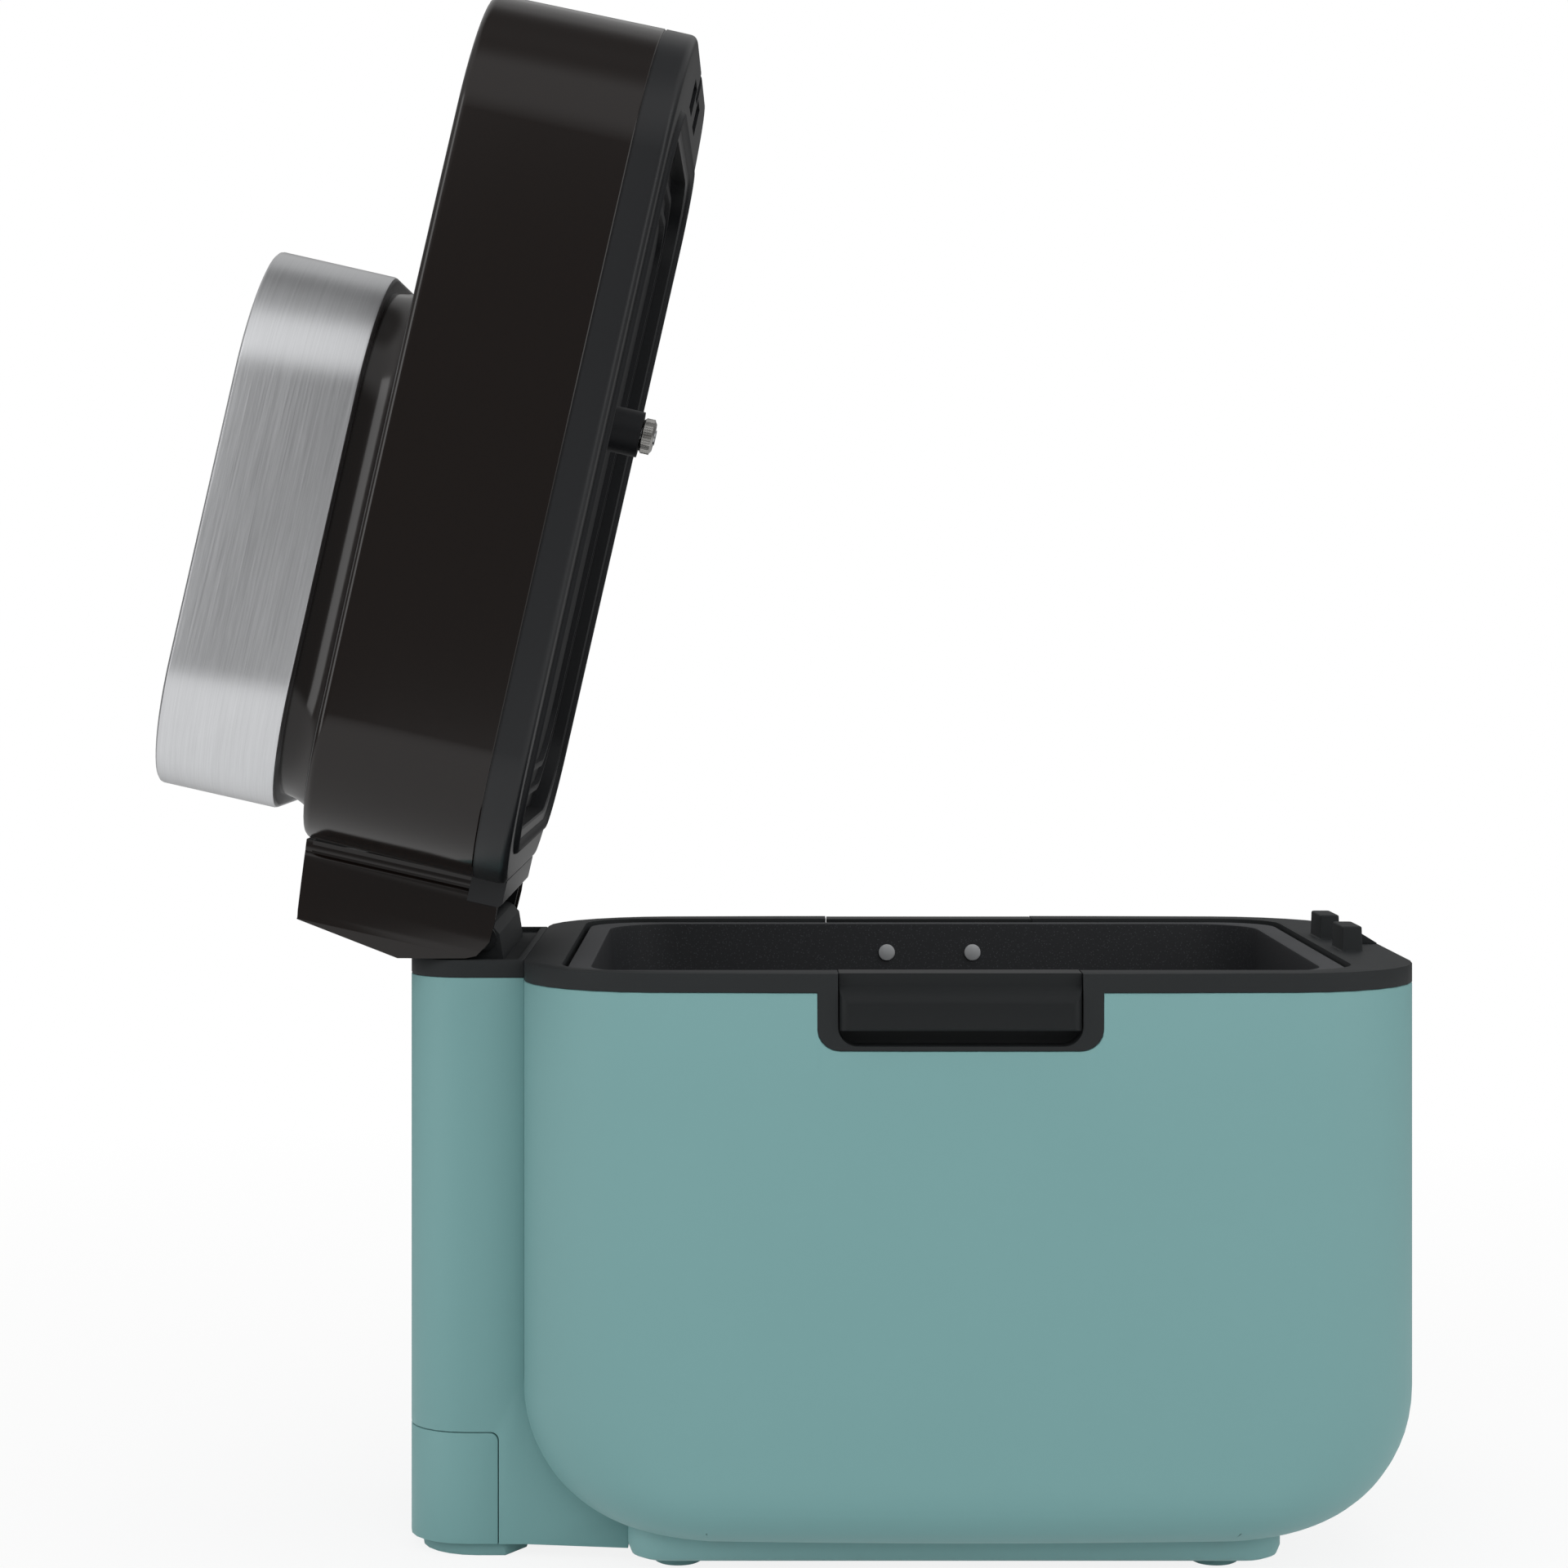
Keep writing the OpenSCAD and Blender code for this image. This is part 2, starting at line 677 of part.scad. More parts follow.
module drive_bearings() {
    color(steel_grey) for (z = [housing_z + 2, chamber_z - 5 - bearing_h])
        translate([pan_x, 0, z]) ring_tube(bearing_h, bearing_r, shaft_r + run_gap);
}

module shaft_seal() {
    color("#3a3a3a") translate([pan_x, 0, chamber_z - 5]) ring_tube(5, bearing_r, shaft_r + 0.3);
}

module drive_shaft() {
    color(steel_grey) translate([pan_x, 0, pulley_z - 1]) cylinder(h = dog_z - pulley_z - 1, r = shaft_r);
}

// Two opposite dogs, each a quarter ring less its clearance
module dogs(h, turn) {
    for (s = [0, 180]) rotate([0, 0, turn + s]) rotate_extrude(angle = 80)
        translate([7, 0]) square([coupling_d / 2 - 8.5, h]);
}

module drive_coupling() {
    color("#4a4b4d") translate([pan_x, 0, 0]) difference() {
        union() {
            translate([0, 0, dog_z - coupling_t]) cylinder(h = coupling_t, r = coupling_d / 2);
            translate([0, 0, dog_z - eps]) dogs(dog_h + eps, 5);
        }
        translate([0, 0, dog_z - coupling_t - 1]) cylinder(h = coupling_t - 1, r = shaft_r);
    }
}

module pulley(r, bore) {
    difference() {
        union() {
            cylinder(h = pulley_h, r = r);
            cylinder(h = flange_t, r = r + 4);
            translate([0, 0, pulley_h - flange_t]) cylinder(h = flange_t, r = r + 4);
        }
        translate([0, 0, -1]) cylinder(h = pulley_h + 2, r = bore);
    }
}

module drive_pulley() {
    color("#3c3d40") translate([pan_x, 0, pulley_z]) difference() {
        pulley(pulley_d / 2, shaft_r);
        for (a = [0:60:300]) rotate([0, 0, a]) translate([pulley_d / 3.6, 0, -1])
            cylinder(h = pulley_h + 2, r = 9);
    }
}

module motor_housing() {
    h = plate_z - motor_z;
    color("#8f9194") translate([motor_x, 0, motor_z]) difference() {
        union() {
            cylinder(h = h, r = motor_d / 2);
            translate([0, 0, h - 3]) linear_extrude(3) rounded(motor_d * 0.8, motor_d + 24, 10);
        }
        translate([0, 0, -1]) cylinder(h = h - 4, r = motor_shaft_r + run_gap);
    }
}

module motor_shaft() {
    color(steel_grey) translate([motor_x, 0, pulley_z - 1])
        cylinder(h = plate_z - pulley_z - 6, r = motor_shaft_r);
}

module motor_pulley() {
    color("#3c3d40") translate([motor_x, 0, pulley_z]) pulley(motor_pulley_d / 2, motor_shaft_r);
}

// Outline of a loop round the two pulleys
module belt_outline(r1, r2) {
    hull() {
        circle(r1);
        translate([belt_l, 0]) circle(r2);
    }
}

module drive_belt() {
    r1 = pulley_d / 2 + belt_gap;
    r2 = motor_pulley_d / 2 + belt_gap;
    h = pulley_h - 2 * flange_t - 2 * belt_gap;
    color("#222222") translate([pan_x, 0, pulley_z + flange_t + belt_gap]) linear_extrude(h)
        difference() {
            belt_outline(r1 + belt_t, r2 + belt_t);
            belt_outline(r1, r2);
        }
}

module power_board() {
    back = 20;
    hw = pedestal_hw + 1;
    h = 110;
    color("#2f6b45") translate([rear_x - back, 0, cover_z + 20]) {
        block([0, -hw, 0], [1.6, hw, h]);
        block([-14, -34, 10], [0, -10, 40]);
        block([-10, 4, 12], [0, 36, 34]);
        for (y = [-20, 20]) translate([0, y, 60]) rotate([0, -90, 0]) cylinder(h = 16, r = 9);
        for (y = [-hw + 4, hw - 4], z = [6, h - 6]) translate([1.6, y, z]) rotate([0, 90, 0])
            cylinder(h = back - 1.6, r = 3);
    }
}

module base_screws() {
    color(steel_grey) for (x = [-1, 1], y = [-1, 1])
        translate([body_x + x * foot_pitch_x / 3, y * foot_pitch_y / 3, 0]) {
            translate([0, 0, foot_h + shell_t]) cylinder(h = body_floor - foot_h - shell_t, r = 2);
            translate([0, 0, body_floor]) cylinder(h = 2.5, r = 4);
        }
}

// ---- Pan and paddle -----------------------------------------------------------

// Ring of the pan's wall at height z, grown by g
function pan_ring(z, g) =
    let (k = pan_draft * (rim_z - flange_drop - z) / (rim_z - flange_drop - pan_floor_z))
    ring(z, pan_l + 2 * g - 2 * k, pan_w + 2 * g - 2 * k, pan_r + g - k / 2);
function pan_base_ring(z, g, cut) =
    ring(z, pan_l + 2 * g - 2 * cut, pan_w + 2 * g - 2 * cut, pan_r + g - cut + 6);

module bread_pan() {
    top = rim_z - flange_drop;
    cut = pan_draft + 8;
    color("#2a2b2d") translate([pan_x, 0, 0]) difference() {
        union() {
            difference() {
                union() {
                    loft([pan_base_ring(pan_under, pan_t, cut),
                        pan_base_ring(pan_under + 2.4, pan_t, cut - 5.6),
                        pan_ring(pan_under + 8, pan_t), pan_ring(top, pan_t)]);
                    slab(top - pan_t, pan_t, pan_l + 2 * flange_end, pan_w + 2 * flange_side,
                        mouth_r - channel_end / 2);
                }
                loft([pan_base_ring(pan_floor_z, 0, cut),
                    pan_base_ring(pan_floor_z + 2.4, 0, cut - 5.6),
                    pan_ring(pan_floor_z + 8, 0), pan_ring(top + 1, 0)]);
            }
            translate([0, 0, pan_under - boss_up]) cylinder(h = pan_t + 2 * boss_up, r = boss_r);
        }
        translate([0, 0, pan_under - boss_up - 1]) cylinder(h = bush_h + 5, r = bush_r);
        rivet_holes();
    }
}

// Holes for the four rivets, through the pan's walls and the handles' legs
module rivet_holes() {
    both_sides() for (s = [-1, 1])
        translate([handle_x - pan_x + s * rivet_pitch / 2, -pan_hw + 3, rim_z - rivet_drop])
            rotate([90, 0, 0]) cylinder(h = pan_t + 6, r = 2.1);
}

module pan_base() {
    color(plate_grey) translate([pan_x, 0, chamber_z + slip]) difference() {
        cylinder(h = pan_under - chamber_z - slip, r = pan_foot_r);
        translate([0, 0, -1]) cylinder(h = pan_under - chamber_z - 1, r = pan_foot_r - 2);
        cylinder(h = pan_under, r = pan_foot_r - 6);
    }
}

module pan_bush() {
    color("#b9975a") translate([pan_x, 0, pan_under - boss_up]) ring_tube(bush_h, bush_r, shaft_r + run_gap);
}

module pan_shaft() {
    color(steel_grey) translate([pan_x, 0, pan_coupling_z]) difference() {
        cylinder(h = shaft_up - pan_coupling_z, r = shaft_r);
        translate([shaft_r - 1.5, -shaft_r, paddle_z - pan_coupling_z])
            cube([shaft_d, shaft_d, paddle_h]);
    }
}

module pan_coupling() {
    color("#4a4b4d") translate([pan_x, 0, 0]) difference() {
        union() {
            translate([0, 0, pan_coupling_z]) cylinder(h = 3.4, r = coupling_d / 2);
            translate([0, 0, dog_z + slip]) dogs(dog_h + eps, 95);
        }
        translate([0, 0, pan_coupling_z - 1]) cylinder(h = 6, r = shaft_r);
    }
}

module kneading_paddle() {
    blade_t = 5;
    tip = paddle_l - 17;
    color("#35363a") translate([pan_x, 0, paddle_z]) difference() {
        union() {
            cylinder(h = hub_h, r = 10);
            bar_xz([[7, 0], [paddle_l, 0], [paddle_l - 4, paddle_h * 0.9],
                [tip + 5, paddle_h * 0.9], [tip, paddle_h * 0.45], [7, paddle_h * 0.45]],
                -blade_t / 2, blade_t / 2);
        }
        translate([0, 0, -1]) linear_extrude(hub_h) difference() {
            circle(shaft_r + 0.1);
            translate([shaft_r - 1.4, -shaft_d]) square(2 * shaft_d);
        }
    }
}

// Section of a handle, from the pan's wall over the rim to the grip outside
module pan_handles() {
    y_in = pan_hw + pan_t + 0.2;
    y_mid = flange_hw + 1.1;
    y_face = body_hw - 3;
    y_out = body_hw + handle_proud;
    z_low = rim_z - handle_h;
    leg = rivet_pitch + 14;
    color("#252628") both_sides() difference() {
        handle_form(y_in, y_mid, y_face, y_out, z_low, leg);
        translate([pan_x, 0, 0]) rivet_holes();
    }
}

module handle_form(y_in, y_mid, y_face, y_out, z_low, leg) {
    intersection() {
        union() {
            translate([handle_x - handle_l / 2, 0, 0]) rotate([90, 0, 90]) linear_extrude(handle_l)
                polygon([[-y_mid, rim_z - 5.6], [-y_mid, rim_z], [-y_face, rim_z],
                    [-y_face - 0.3, rim_z - 5.6], [-y_face - 1, rim_z - 6], [-y_out + 2, rim_z - 8.4],
                    [-y_out + 0.5, rim_z - 10], [-y_out, rim_z - 11.6], [-y_out, z_low + 1],
                    [-y_out + 1, z_low], [-y_out + 4, z_low], [-y_out + 4.6, z_low + 1],
                    [-y_out + 5, rim_z - 13], [-y_out + 8, rim_z - 9.6], [-y_out + 11, rim_z - 7.4],
                    [-y_out + 11.6, rim_z - 5.6]]);
            block([handle_x - leg / 2, -mouth_hw + 0.6, rim_z - 21],
                [handle_x + leg / 2, -y_in, rim_z - flange_drop - pan_t - 0.1]);
        }
        translate([handle_x, 0, z_low - 10]) linear_extrude(handle_h + 20) difference() {
            translate([0, -body_hw / 2]) square([handle_l, body_w], center = true);
            for (s = [-1, 1]) translate([s * handle_l / 2, -y_out]) difference() {
                square(8, center = true);
                translate([-s * 4, 4]) circle(4);
            }
        }
    }
}

module handle_rivets() {
    wall = pan_hw - pan_draft * (rivet_drop + rivet_d / 2 - flange_drop)
        / (rim_z - flange_drop - pan_floor_z);
    color(steel_grey) both_sides() for (s = [-1, 1])
        translate([handle_x + s * rivet_pitch / 2, 0, rim_z - rivet_drop]) rotate([90, 0, 0]) {
            translate([0, 0, wall - 1.05]) cylinder(h = 1, r = rivet_d / 2);
            translate([0, 0, wall - 0.2]) cylinder(h = pan_hw + pan_t + 3.1 - wall, r = 2.1);
        }
}

// ---- Lid ------------------------------------------------------------------------

// Puts what is drawn with the lid shut, hinge at the origin, at the open angle
module on_hinge() {
    translate([hinge_x, 0, hinge_z]) rotate([0, -lid_open, 0]) children();
}

// Ring of the lid's outline at height v, pulled in by g
function lid_ring(v, g) = ring(v, lid_l - 2 * g, body_w - 2 * g, corner_r - g, side_bow, lid_u);

// Glossy shell: upright walls that lean in a little and a soft top edge
module lid_form(t) {
    base = trim_top - (t > 0 ? 1 : 0);
    edge = 3.4 - t;
    loft([lid_ring(base, t), lid_ring(lid_top - 5, t + 1), lid_ring(lid_top - t - edge * 0.5, t + 1.3),
        lid_ring(lid_top - t - edge * 0.13, t + 1 + edge * 0.5), lid_ring(lid_top - t, t + 1 + edge)]);
}

module lid_shell() {
    color(lid_brown) on_hinge() difference() {
        lid_form(0);
        lid_form(lid_t);
        translate([head_cu, 0, lid_top - 12]) linear_extrude(20)
            rounded(head_l - 44, head_w - 44, head_r - 22);
        both_sides() arm_slot();
    }
}

module arm_slot() {
    block([lid_rear - 2, arm_y - 0.5, trim_top - 1], [lid_rear + 6, arm_y + arm_t + 0.5, trim_top + 10]);
}

module lid_trim() {
    slot_l = post_l + 2.2;
    slot_w = post_w + 2.5;
    slot_u = front_x - hinge_x - post_in - post_l / 2;
    color(rim_black) on_hinge() difference() {
        loft([lid_ring(lid_v, trim_edge), lid_ring(lid_v + 0.3 * trim_edge, 0.3 * trim_edge),
            lid_ring(lid_v + trim_edge, 0), lid_ring(trim_top, 0)]);
        block([lid_rear + lid_l - catch_l - 2, -catch_w / 2 - 1.5, lid_v - 1],
            [lid_rear + lid_l + 1, catch_w / 2 + 1.5, lid_v + catch_h + 1.6]);
        translate([cover_u, 0, lid_v - 1]) linear_extrude(trim_h + 2)
            rounded(cover_open_l, cover_open_w, cover_open_r);
        for (y = [-1, 1]) translate([slot_u, y * post_pitch / 2, lid_v - 1])
            block([-slot_l / 2, -slot_w / 2, 0], [slot_l / 2, slot_w / 2, trim_h + 2]);
    }
}

// Side view of the tail: top, rear face, the step that meets the column, hinge end
function tail_outline() = [[lid_rear - 0.3, lid_top], [-6.5, lid_top - 3.2], [-12.4, 28.2],
    [-11.8, 25.6], [-9.8, 16.2], [-6.9, 3.8], [-5.2, 0.1], [0.75, -3.5], [9.5, -3.7], [14, -3.4],
    [16, trim_top], [lid_rear - 0.3, trim_top]];

module tail_cover() {
    inner = [[lid_rear + 1, lid_top - lid_t], [-5.1, lid_top - 3.2 - lid_t], [-9.5, 26],
        [-7.5, 16.2], [-5, 7], [-14, 6], [-14, -9], [lid_rear + 1, -9]];
    color(lid_brown) on_hinge() difference() {
        bar_xz(tail_outline(), -tail_hw, tail_hw);
        bar_xz(inner, -tail_hw + lid_t, tail_hw - lid_t);
        both_sides() translate([0, tail_hw - 0.9, 0]) rotate([90, 0, 0]) cylinder(h = lid_t, r = 0.001 + pin_r);
    }
}

module hinge_arms() {
    color("#3d3f42") on_hinge() both_sides() difference() {
        union() {
            bar_xz([[-3, 4], [4.5, -3], [14, -3], [16, trim_top + 0.05], [60, trim_top + 0.05],
                [60, trim_top + 8], [10, trim_top + 8]], arm_y, arm_y + arm_t);
            translate([0, arm_y + arm_t, 0]) rotate([90, 0, 0]) cylinder(h = arm_t, r = 5);
        }
        translate([0, arm_y + arm_t + 1, 0]) rotate([90, 0, 0]) cylinder(h = arm_t + 2, r = pin_r);
    }
}

module hinge_pins() {
    color(steel_grey) both_sides() translate([hinge_x, tail_hw - 1, hinge_z]) rotate([90, 0, 0])
        cylinder(h = tail_hw - pedestal_hw + 13, r = pin_r);
}

module lid_gasket() {
    color("#1d1e20") on_hinge() translate([cover_u - 0.5, 0, lid_v])
        frame_sweep(gasket_l, gasket_w, gasket_r) {
            intersection() {
                translate([0, -gasket_drop + gasket_hw]) circle(gasket_hw);
                translate([-gasket_hw, -gasket_drop]) square([2 * gasket_hw, gasket_drop]);
            }
        }
}

module inner_cover() {
    t = 1.2;
    v0 = trim_top - 6;
    color("#202224") on_hinge() translate([cover_u, 0, v0]) difference() {
        union() {
            linear_extrude(t) rounded(cover_open_l - 0.4, cover_open_w - 0.4, cover_open_r - 0.2);
            for (g = [8, 18]) translate([0, 0, -2]) linear_extrude(2 + eps) difference() {
                rounded(cover_open_l - 2 * g, cover_open_w - 2 * g, cover_open_r - g / 2);
                rounded(cover_open_l - 2 * g - 5, cover_open_w - 2 * g - 5, cover_open_r - g / 2 - 2.5);
            }
            translate([nut_u - cover_u, 0, lid_v - boss_drop + 0.3 - v0])
                cylinder(h = v0 - lid_v + boss_drop, r = 9);
        }
        translate([nut_u - cover_u, 0, lid_v - boss_drop - v0 - 1]) cylinder(h = 30, r = stud_r + 0.2);
        for (k = [0:1], a = [0:30:330]) translate([head_cu - cover_u, 0, -1]) rotate([0, 0, a + 15 * k])
            translate([18 + 16 * k, 0]) cylinder(h = 4, r = 3);
    }
}

module heat_shield() {
    color(steel_grey) on_hinge() difference() {
        union() {
            translate([cover_u, 0, shield_v]) linear_extrude(shield_t)
                rounded(cover_open_l + 12, cover_open_w + 16, cover_open_r);
            for (x = [-1, 1], y = [-1, 1])
                translate([cover_u + x * (cover_open_l / 2 + 1), y * (cover_open_w / 2 - 30), trim_top])
                    cylinder(h = shield_v - trim_top + eps, r = 3.5);
        }
        translate([head_cu, 0, shield_v - 1]) cylinder(h = 4, r = 6);
        translate([nut_u, 0, shield_v - 1]) cylinder(h = 4, r = stud_r);
    }
}

module lid_heater() {
    r = 55;
    post_v = fan_v + fan_h / 2;
    color("#6f6a66") on_hinge() translate([head_cu, 0, post_v]) {
        rotate([0, 0, 14]) rotate_extrude(angle = 332) translate([r, 0]) circle(heater_r);
        for (s = [-1, 1]) rotate([0, 0, s * 14]) translate([r, 0, 0])
            cylinder(h = shield_v - post_v, r = heater_r);
    }
}

module fan_motor() {
    h = head_v - shield_v;
    color("#8f9194") on_hinge() translate([head_cu, 0, shield_v + shield_t]) difference() {
        union() {
            cylinder(h = 3, r = 34);
            cylinder(h = h, r = 27);
        }
        translate([0, 0, -1]) cylinder(h = h - 6, r = motor_shaft_r + run_gap);
    }
}

module circulation_fan() {
    blades = 8;
    color(steel_grey) on_hinge() translate([head_cu, 0, fan_v]) {
        cylinder(h = shield_v - fan_v + 24, r = motor_shaft_r);
        cylinder(h = fan_h, r = 8);
        translate([0, 0, fan_h - 1.5]) cylinder(h = 1.5, r = fan_r);
        for (i = [0:blades - 1]) rotate([0, 0, i * 360 / blades])
            translate([24, -0.6, 0]) cube([fan_r - 25, 1.2, fan_h]);
    }
}

module cover_stud() {
    color(steel_grey) on_hinge() translate([nut_u, 0, lid_v - boss_drop - nut_h - 0.5])
        cylinder(h = shield_v + shield_t + 3 - (lid_v - boss_drop - nut_h - 0.5), r = stud_r);
}

module thumb_nut() {
    color(steel_grey) on_hinge() translate([nut_u, 0, lid_v - boss_drop - nut_h]) difference() {
        union() {
            cylinder(h = 0.8, r1 = nut_d / 2 - 0.8, r2 = nut_d / 2);
            translate([0, 0, 0.8]) cylinder(h = nut_h - 0.8, r = nut_d / 2);
        }
        translate([0, 0, -1]) cylinder(h = nut_h + 2, r = stud_r + run_gap);
    }
}

// ---- Control head ----------------------------------------------------------------

function head_ring(v, g) = ring(v, head_l - 2 * g, head_w - 2 * g, head_r - g, 0, head_cu);

module head_neck() {
    flare = [[0, 0], [0.12, 2.6], [0.32, 4.6], [1, 5.5]];
    color(lid_brown) on_hinge() difference() {
        loft([for (f = flare) head_ring(lid_top + f[0] * neck_h, f[1])]);
        loft([for (f = flare) head_ring(lid_top + f[0] * (neck_h + 2) - 1, f[1] + lid_t)]);
    }
}

module head_band() {
    c = band_chamfer;
    color(steel_grey) on_hinge() difference() {
        loft([head_ring(head_v, c), head_ring(head_v + c, 0), head_ring(head_top - c, 0),
            head_ring(head_top, c)]);
        loft([head_ring(head_v + band_t, c + 5), head_ring(head_v + band_t + 0.1, band_t + c),
            head_ring(head_top + 1, band_t + c)]);
        translate([0, 0, head_v - 1]) loft([head_ring(0, 5.5 + lid_t), head_ring(3, 5.5 + lid_t)]);
    }
}

module control_glass() {
    t = 2.4;
    color("#101112") on_hinge() translate([head_cu, 0, 0])
        slab(head_top - t - 0.4, t, head_l - 2 * (band_t + band_chamfer) - 0.4,
            head_w - 2 * (band_t + band_chamfer) - 0.4, head_r - band_t - band_chamfer);
}

module control_board() {
    depth = 14;
    stand = depth - 1.6 - 2.8;
    l = head_l - 112;
    w = head_w - 68;
    color("#2f6b45") on_hinge() translate([head_cu, 0, head_top - depth]) {
        linear_extrude(1.6) rounded(l, w, 4);
        translate([8, 0, 1.6]) linear_extrude(stand) rounded(l / 3, w / 2, 1);
        for (x = [-1, 1], y = [-1, 1]) translate([x * (l / 2 - 7), y * (w / 2 - 7), 1.6])
            cylinder(h = stand, r = 3);
    }
}

module lid_switches() {
    slot_u = front_x - hinge_x - post_in;
    color("#2a2a2a") on_hinge() for (y = [-1, 1])
        translate([slot_u - post_l / 2, y * post_pitch / 2, trim_top])
            block([-10, -6, 0], [10, 6, 10]);
}

body_shell();
base_plate();
plinth_feet();
rear_foot();
column_shell();
column_cover();
column_cap();
rim_frame();
hinge_pedestal();
interlock_posts();
lid_catch();
chamber_liner();
bake_heater();
heater_clips();
temperature_probe();
chassis_plate();
chassis_pillars();
bearing_housing();
drive_bearings();
shaft_seal();
motor_housing();
drive_belt();
power_board();
cord_gland();
base_screws();
drive_shaft();
drive_coupling();
drive_pulley();
motor_shaft();
motor_pulley();
bread_pan();
pan_base();
pan_handles();
handle_rivets();
pan_bush();
pan_shaft();
pan_coupling();
kneading_paddle();
lid_shell();
lid_trim();
tail_cover();
hinge_arms();
hinge_pins();
lid_gasket();
inner_cover();
heat_shield();
lid_heater();
fan_motor();
circulation_fan();
cover_stud();
thumb_nut();
head_neck();
head_band();
control_glass();
control_board();
lid_switches();
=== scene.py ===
"""Looks of a bread machine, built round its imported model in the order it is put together. Metres."""

import json
import math

import bmesh
import bpy
from mathutils import Matrix, Vector


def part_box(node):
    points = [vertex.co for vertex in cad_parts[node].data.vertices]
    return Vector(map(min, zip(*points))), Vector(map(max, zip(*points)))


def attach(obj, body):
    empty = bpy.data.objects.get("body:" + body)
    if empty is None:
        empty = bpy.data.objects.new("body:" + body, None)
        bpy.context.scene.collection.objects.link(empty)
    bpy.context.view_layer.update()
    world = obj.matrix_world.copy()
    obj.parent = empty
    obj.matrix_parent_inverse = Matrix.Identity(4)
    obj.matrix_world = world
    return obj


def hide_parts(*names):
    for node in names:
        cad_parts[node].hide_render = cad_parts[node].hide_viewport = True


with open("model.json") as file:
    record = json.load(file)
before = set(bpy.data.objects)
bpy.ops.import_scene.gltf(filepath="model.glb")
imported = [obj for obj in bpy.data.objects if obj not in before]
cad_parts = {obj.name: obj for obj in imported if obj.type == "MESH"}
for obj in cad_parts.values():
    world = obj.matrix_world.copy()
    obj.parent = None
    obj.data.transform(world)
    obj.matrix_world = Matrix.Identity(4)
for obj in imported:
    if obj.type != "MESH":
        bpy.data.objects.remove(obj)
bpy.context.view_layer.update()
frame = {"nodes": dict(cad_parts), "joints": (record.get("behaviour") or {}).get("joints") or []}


# ---- Plinth ------------------------------------------------------------------
# The plinth is a shallow tray that closes the machine from below. It is moulded in
# ABS, and four screws hold it to the body's floor. Its colour is set a shade paler than
# the body's: painted light that lifts the plinth out of the shade under the body.

def outline(length, width, corner, bow=0.0, stations=(), steps=12):
    """Points of a rounded rectangle, counter-clockwise; its long sides bow out by bow."""
    x0, y0 = length / 2 - corner, width / 2 - corner
    points = []
    for quarter, (x, y) in enumerate(((x0, y0), (-x0, y0), (-x0, -y0), (x0, -y0))):
        for k in range(steps + 1):
            angle = math.radians(90 * (quarter + k / steps))
            points.append((x + corner * math.cos(angle), y + corner * math.sin(angle)))
        if quarter == 0:
            points += [(s, width / 2) for s in reversed(stations)]
        if quarter == 2:
            points += [(s, -width / 2) for s in stations]
    return [(x, y * (1 - 2 * bow / width * (2 * x / length) ** 2)) for x, y in points]


def placed(name, data):
    """A new object of a mesh, a lamp or a camera, in the scene."""
    piece = bpy.data.objects.new(name, data)
    bpy.context.scene.collection.objects.link(piece)
    return piece


def loft(name, rings, closed=False):
    """Mesh through rings of equally many points, joined end to end or with a face over each end."""
    count = len(rings[0])
    points = [p for ring in rings for p in ring]
    faces = []
    for k in range(len(rings) if closed else len(rings) - 1):
        a, b = k * count, (k + 1) % len(rings) * count
        faces += [(a + i, a + (i + 1) % count, b + (i + 1) % count, b + i) for i in range(count)]
    if not closed:
        faces += [tuple(range(count))[::-1], tuple(range(len(points) - count, len(points)))]
    mesh = bpy.data.meshes.new(name)
    mesh.from_pydata(points, [], faces)
    return smooth(placed(name, mesh))


def smooth(piece, angle=32):
    """Turns the faces outwards and shades them smooth, except across edges sharper than angle."""
    mesh = bmesh.new()
    mesh.from_mesh(piece.data)
    bmesh.ops.recalc_face_normals(mesh, faces=mesh.faces)
    for face in mesh.faces:
        face.smooth = True
    for edge in mesh.edges:
        edge.smooth = edge.is_manifold and edge.calc_face_angle(0) < math.radians(angle)
    mesh.to_mesh(piece.data)
    mesh.free()
    return piece


def fit(piece, body, material, slot, *nodes):
    """Gives a piece its finish and fixes it to its body, in place of the nodes it stands for."""
    piece.data.materials.clear()
    piece.data.materials.append(material)
    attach(piece, body)
    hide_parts(*nodes)
    return piece


def linear(colour):
    """Linear colour of an sRGB hex value, opaque."""
    parts = [int(colour[i:i + 2], 16) / 255 for i in (1, 3, 5)]
    return [p / 12.92 if p <= 0.04045 else ((p + 0.055) / 1.055) ** 2.4 for p in parts] + [1.0]


def add_node(tree, kind, inputs=None, **settings):
    """Adds a node to a tree; an input takes a value or another node's output."""
    node = tree.nodes.new(kind)
    for name, value in settings.items():
        setattr(node, name, value)
    for name, value in (inputs or {}).items():
        if isinstance(value, bpy.types.NodeSocket):
            tree.links.new(value, node.inputs[name])
        else:
            node.inputs[name].default_value = value
    return node


def finish(name, **constants):
    """A material with its tree and its surface shader, whose constants are set by input name."""
    material = bpy.data.materials.new(name)
    material.use_nodes = True
    shader = material.node_tree.nodes["Principled BSDF"]
    for key, value in constants.items():
        shader.inputs[key.replace("_", " ")].default_value = value
    return material, material.node_tree, shader


def object_place(tree):
    """Object coordinates, so that a finish stays on its piece when that moves."""
    return add_node(tree, "ShaderNodeTexCoord").outputs["Object"]


def noise(tree, place, scale, detail, **inputs):
    """Noise at a place, as its factor."""
    return add_node(tree, "ShaderNodeTexNoise", {"Vector": place, "Scale": scale, "Detail": detail,
                                                 **inputs}).outputs["Fac"]


def ramp(tree, value, low, high, start, end, **settings):
    """Value carried from the range low to high onto start to end."""
    node = add_node(tree, "ShaderNodeMapRange", {"Value": value, "From Min": low, "From Max": high,
                                                 "To Min": start, "To Max": end}, **settings)
    return node.outputs["Result"]


